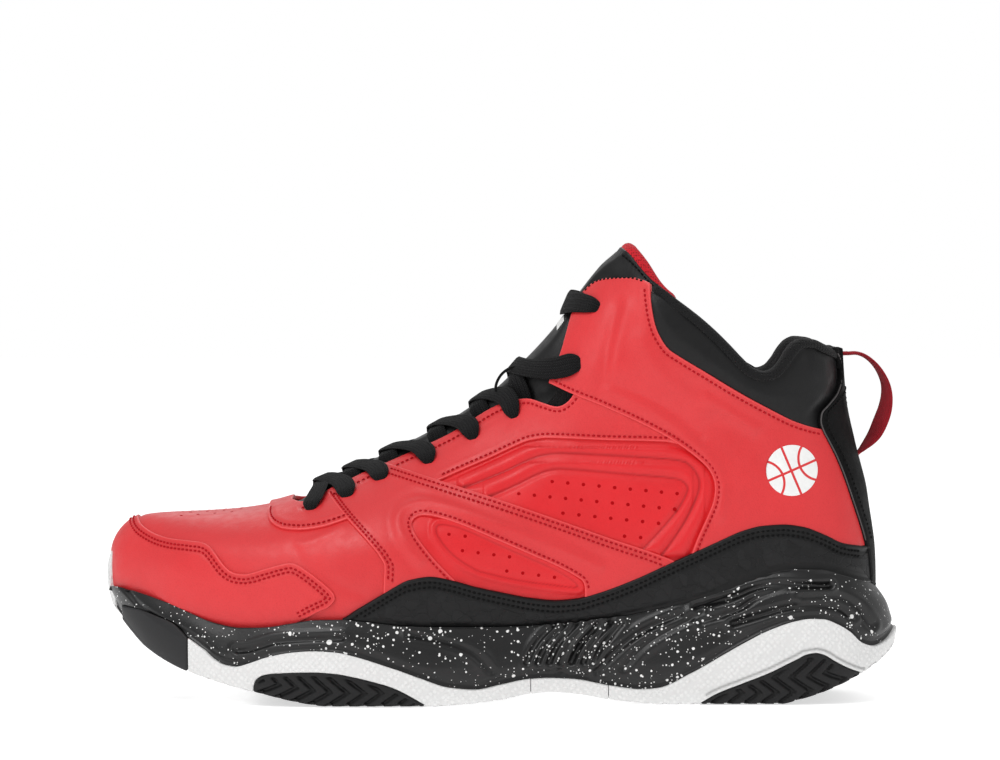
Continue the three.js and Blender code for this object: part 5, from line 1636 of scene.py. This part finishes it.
LOOP_Y, LOOP_WIDTH, LOOP_THICK = -1.0, 10.0, 1.4
END_WIDTH, END_THICK = 10.3, 1.5
# The sewn-down ends: their CAD node, place and lean in the side view.
LOOP_ENDS = (("loop_end_top", 129.0, 130.2, 0.05), ("loop_end_bottom", 134.3, 91.8, 0.75))
LOOP_PATH = [
    (130.8, 130.2), (134.6, 130.3), (138.2, 128.8), (142, 125.2), (144.8, 120.2), (145.8, 115),
    (145.2, 109.5),
    (143.3, 104), (141.0, 99.3), (137.6, 95.2), (135.3, 92.8),
]


def webbing(node, body, path, width, thick, twist=0.0):
    """A band of webbing along a side-view line at the heel, in place of a CAD node."""
    count = len(path)
    run = unit(np.gradient(path, axis=0))
    points = np.column_stack([path[:, 0], np.full(count, LOOP_Y), path[:, 1]])
    normals = np.column_stack([-run[:, 1], np.zeros(count), run[:, 0]])
    builder = Builder()
    ribbon(builder, points, normals, np.full(count, width), thick, twist)
    place(builder.make(f"{node}_webbing"), M["webbing"], body, [node])


def pull_loop():
    webbing("pull_loop", "pull_loop", spline(LOOP_PATH, 0.7), LOOP_WIDTH, LOOP_THICK, 0.55)
    t = np.linspace(-2.0, 2.0, 9)
    for node, x, z, lean in LOOP_ENDS:
        path = np.column_stack([x + t * math.cos(lean), z + t * math.sin(lean)])
        webbing(node, "shoe", path, END_WIDTH, END_THICK)


# ---------------------------------------------------------------- the sole

SOLE_TOE, SOLE_HEEL = -151.0, 149.6
sole_lateral = curve([
    (-151, 42), (-145, 42.4), (-135, 45.9), (-120, 49.8), (-100, 54.2), (-80, 58.5), (-60, 60),
    (-40, 59), (-20, 56), (0, 51.3), (20, 47), (40, 44.3), (60, 42.8), (80, 42), (100, 41.5), (150, 41.5),
])
sole_medial = curve([
    (-151, 40), (-145, 41), (-135, 43.4), (-120, 44.4), (-100, 45.6), (-80, 46.7), (-60, 47),
    (-40, 45), (-20, 41.5), (0, 38.5), (20, 37.2), (40, 37.6), (60, 39), (80, 40.3), (100, 41), (150, 41),
])
bulge_z = curve([
    (-151, 46), (-140, 36), (-120, 24), (-100, 17), (-60, 14), (40, 14), (80, 18), (110, 24), (150, 26),
])
BRIDGE = (10.5, 39.5)


def sole_edge(angle):
    """The widest outline of the sole in plan, once round from the toe."""
    x = lerp(SOLE_TOE, SOLE_HEEL, (1 - np.cos(angle)) / 2)
    side = np.where(np.mod(angle, 2 * math.pi) < math.pi, -1.0, 1.0)
    half = np.where(side < 0, sole_lateral(x), sole_medial(x))
    half = half * closure(x - SOLE_TOE, 66, 2.1) * closure(SOLE_HEEL - x, 42, 2.2)
    return np.stack([x, middle_y(x) + side * half], axis=-1)


def bumper(x, y):
    """How much the toe bumper stands up here: only around the toe's tip and its inner side."""
    return (1 - smoothstep(-144, -137, x)) * smoothstep(1.0, 5.0, y) * (1 - smoothstep(13, 29, y))


def wall_inset(x, z, normal_x):
    """How far the wall lies inside the widest outline, below and above its bulge."""
    widest = bulge_z(x)
    low = 2.8 * np.clip((widest - z) / (widest - ground_z(x) + 2), 0, 1) ** 2.5
    top = np.maximum(feather_z(x), widest + 9)
    lean = lerp(4.5, 9.0, np.clip(normal_x, 0, 1) ** 4)
    high = lean * np.clip((z - widest) / (top - widest), 0, 1.25) ** 1.4
    return np.where(z < widest, low, high)


WALL, BOTTOM, LIP = 84, 60, 6


def sole_surface(angles=1600):
    """The sole's whole outside: a lip at its top, the wall, and the underside up to the middle line."""
    grids = []
    for start in (0.0, math.pi):
        angle = np.linspace(start + 1e-4, start + math.pi - 1e-4, angles // 2)
        p = sole_edge(angle)
        step = unit(sole_edge(angle + 0.004) - sole_edge(angle - 0.004))
        normal = np.column_stack([step[:, 1], -step[:, 0]])
        rows = []
        x = p[:, 0]
        raised = bumper(x, p[:, 1])
        top, low = lerp(feather_z(x), 54.8, raised), ground_z(x)
        rim_inset = wall_inset(x, top, normal[:, 0]) * (1 - raised) + 1.6 * raised
        for k in range(LIP):
            t = 1 - k / LIP
            by = rim_inset + 6.5 * t**1.3
            rows.append(np.column_stack([p - normal * by[:, None], top - 0.2 - 1.8 * t**2]))
        for k in range(WALL + 1):
            z = lerp(top, low, k / WALL)
            by = wall_inset(x, z, normal[:, 0])
            upright = np.where(z > bulge_z(x), 1.6 * np.clip((z - 47) / 8, 0, 1) ** 2, by)
            by = lerp(by, upright, raised)
            rows.append(np.column_stack([p - normal * by[:, None], z]))
        edge = rows[-1]
        middle = middle_y(edge[:, 0])
        for k in range(1, BOTTOM + 1):
            y = lerp(edge[:, 1], middle, k / BOTTOM)
            rows.append(np.column_stack([edge[:, 0], y, ground_z(edge[:, 0])]))
        grids.append((np.stack(rows, axis=1), -1 if start == 0 else 1))
    surface = Surface([(g, 1) for g, _ in grids])
    surface.side = np.concatenate([np.full(g.shape[0] * g.shape[1], float(s)) for g, s in grids])
    return surface


def below_line(surface, f):
    """How far each point lies below a line of the side view, along the surface."""
    x, z = surface.points[:, 0], surface.points[:, 2]
    slope = f(x + 0.5) - f(x - 0.5)
    size = np.sqrt(1 + slope**2)
    grow = np.column_stack([slope / size, -1 / size])
    return over_surface((f(x) - z) / size, grow, surface.normals)


# Grooves moulded in the midsole's wall: the line, its width and its depth.
SCULPT = [
    (spline([(-99, 20.5), (-95, 21), (-90, 22.5), (-85, 24), (-75, 25), (-60, 25.5)]), 1.05, 1.2),
    (spline([(-34, 27), (-20, 24), (-10, 19.5), (-4, 13)]), 1.2, 0.75),
    (spline([(40, 30.5), (33, 27), (27, 20), (22, 13.5)]), 1.5, 0.9),
    (spline([(66, 33.5), (52, 27.5), (42, 20), (35, 12.5)]), 1.2, 1.2),
    (spline([(75, 34.5), (62, 28), (52, 21.5), (45, 14)]), 1.2, 0.9),
    (spline([(72, 36.5), (85, 40), (95, 43.5), (105, 45), (122, 44.5)]), 1.05, 1.35),
    (spline([(74, 31), (87, 35), (95, 40), (105, 43), (122, 43.8)]), 1.05, 1.05),
    (spline([(86, 30.5), (98, 34), (105, 36), (113, 37), (121, 37), (127, 35.5), (131, 32.5)]), 1.2, 1.35),
    (spline([(112, 40), (124, 40), (133, 36), (139, 29)]), 1.35, 0.9),
]
RIBS = [
    spline([(x + 4.5, 29.0 + 0.04 * x), (x + 0.5, 26), (x - 3, 21.5), (x - 5.5, 16.2)])
    for x in (14.5, 18.7, 22.9, 27.1, 31.3, 35.5, 39.7)
]
SCULPT += [(rib, 0.95, 1.0) for rib in RIBS]


def midsole_relief(p, side, depth):
    xz = p[:, [0, 2]]
    lift, shade = np.zeros(len(p)), np.zeros(len(p))
    for path, width, deep in SCULPT:
        cut, dark = groove_line(xz, path, width, deep)
        lift += cut
        shade = np.maximum(shade, dark)
    x, z = p[:, 0], p[:, 2]
    swell = 0.7 * bell(z - lerp(white_z(x), feather_z(x), 0.62), 5.0)
    pinch = 0.9 * bell(z - white_z(x) - 1.8, 1.6)
    # The second value is painted shade in the moulded grooves.
    return lift + swell - pinch, 0.65 * shade


def herringbone(p, pitch, arm, width, deep):
    """Grooves in V shapes, across the sole and up its wall, and how much painted shade darkens them."""
    reach = np.abs(p[:, 1]) + p[:, 2]
    fold = np.abs(np.mod(reach, 2 * arm) - arm)
    phase = np.mod(p[:, 0] + fold * 1.15, pitch)
    off = np.minimum(phase, pitch - phase)
    cut = 1 - smoothstep(width * 0.5, width * 0.5 + 0.55, off)
    return -deep * cut, cut


def pad_relief(p, side, depth):
    """The deep tread of the black pads, with a plain rim and painted shade in its grooves."""
    lift, cut = herringbone(p, 6.4, 6.5, 1.7, 1.3)
    inside_ = smoothstep(1.2, 1.9, depth)
    return lift * inside_, cut * inside_ * 0.8


def white_relief(p, side, depth):
    """The shallow tread underneath, left out at the bridge, and a pressed line around the heel pad, both
    darkened with painted shade.
    """
    x, z = p[:, 0], p[:, 2]
    cut, dark = herringbone(p, 5.6, 8.0, 1.3, 0.9)
    treaded = ((x > -136) & (x < BRIDGE[0] - 3)) | (x > BRIDGE[1] + 3)
    tread = treaded & (z < ground_z(x) + 0.3) & (depth > 1.0)
    over_pad = z - heel_pad_z(x)
    near_pad = (over_pad < 4.5) & (over_pad > -0.3) & (x > 76) & (x < 136)
    line = bell(depth - 1.6, 0.45) * near_pad
    return np.where(tread, cut, 0) - 0.5 * line, np.maximum(np.where(tread, dark * 0.45, 0), 0.75 * line)


def sole():
    """Every piece of the sole. Each of these distances is above 0 inside that piece's area."""
    surface = sole_surface()
    x, y, z = surface.points.T
    white = below_line(surface, white_z)
    fore = np.minimum(below_line(surface, fore_pad_z), np.minimum(x + 93, -29 - x))
    heel = np.minimum(below_line(surface, heel_pad_z), np.minimum(x - 74, 134.2 - x))
    toe = np.minimum(below_line(surface, toe_pad_z), np.minimum(np.minimum(x + 144.6, -118.3 - x), 1 - y))
    lateral_toe = np.minimum(-118 - x, 1 - y)
    tip = np.minimum(y - 1, -142.5 - x)
    white = np.minimum(np.maximum(white, tip), -lateral_toe)
    black = np.minimum(-white, -toe)
    clear = np.minimum(-fore, -heel)
    white_all = np.minimum(white, clear)

    def made(name, node, inner, height, material, slot, relief=None, bevel=0.5):
        points, faces, shade = cut_piece(surface, inner, height, rim=-1.6, relief=relief, bevel=bevel)
        place(mesh_object(name, points, faces, shade), M[material], "shoe", [node])

    made("midsole_foam", "midsole", black, -0.8, "midsole", "speckled_foam", midsole_relief)
    for name, low, high, height in (
        ("forefoot", -400, BRIDGE[0], 0.0), ("bridge", *BRIDGE, 0.15), ("heel", BRIDGE[1], 400, 0.0),
    ):
        part = np.minimum(white_all, np.minimum(x - low - 0.1, high - x - 0.1))
        made(f"outsole_{name}_rubber", f"outsole_{name}", part, height, "white", "white_rubber", white_relief)
    black_slot = "black_rubber"
    for name, inner in (("forefoot", fore), ("heel", heel)):
        made(f"outsole_{name}_tread", f"outsole_{name}_pad", inner, -0.15, "pad", black_slot, pad_relief, 0.8)
    made("outsole_toe_tread", "outsole_toe_pad", toe, 0.1, "toe_pad", black_slot, None, 0.7)


# ---------------------------------------------------------------- hidden CAD pieces keep their shape


def inner_parts():
    for node, material in (("insole_board", "board"), ("shank_plate", "plastic")):
        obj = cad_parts[node]
        if not obj.data.materials:
            obj.data.materials.append(M[material])
        for held in obj.material_slots:
            held.material = M[material]


camera()
stage()
upper()
needlework()
strip_piping()
collar()
linings()
footbed()
tongue()
laces()
pull_loop()
sole()
inner_parts()
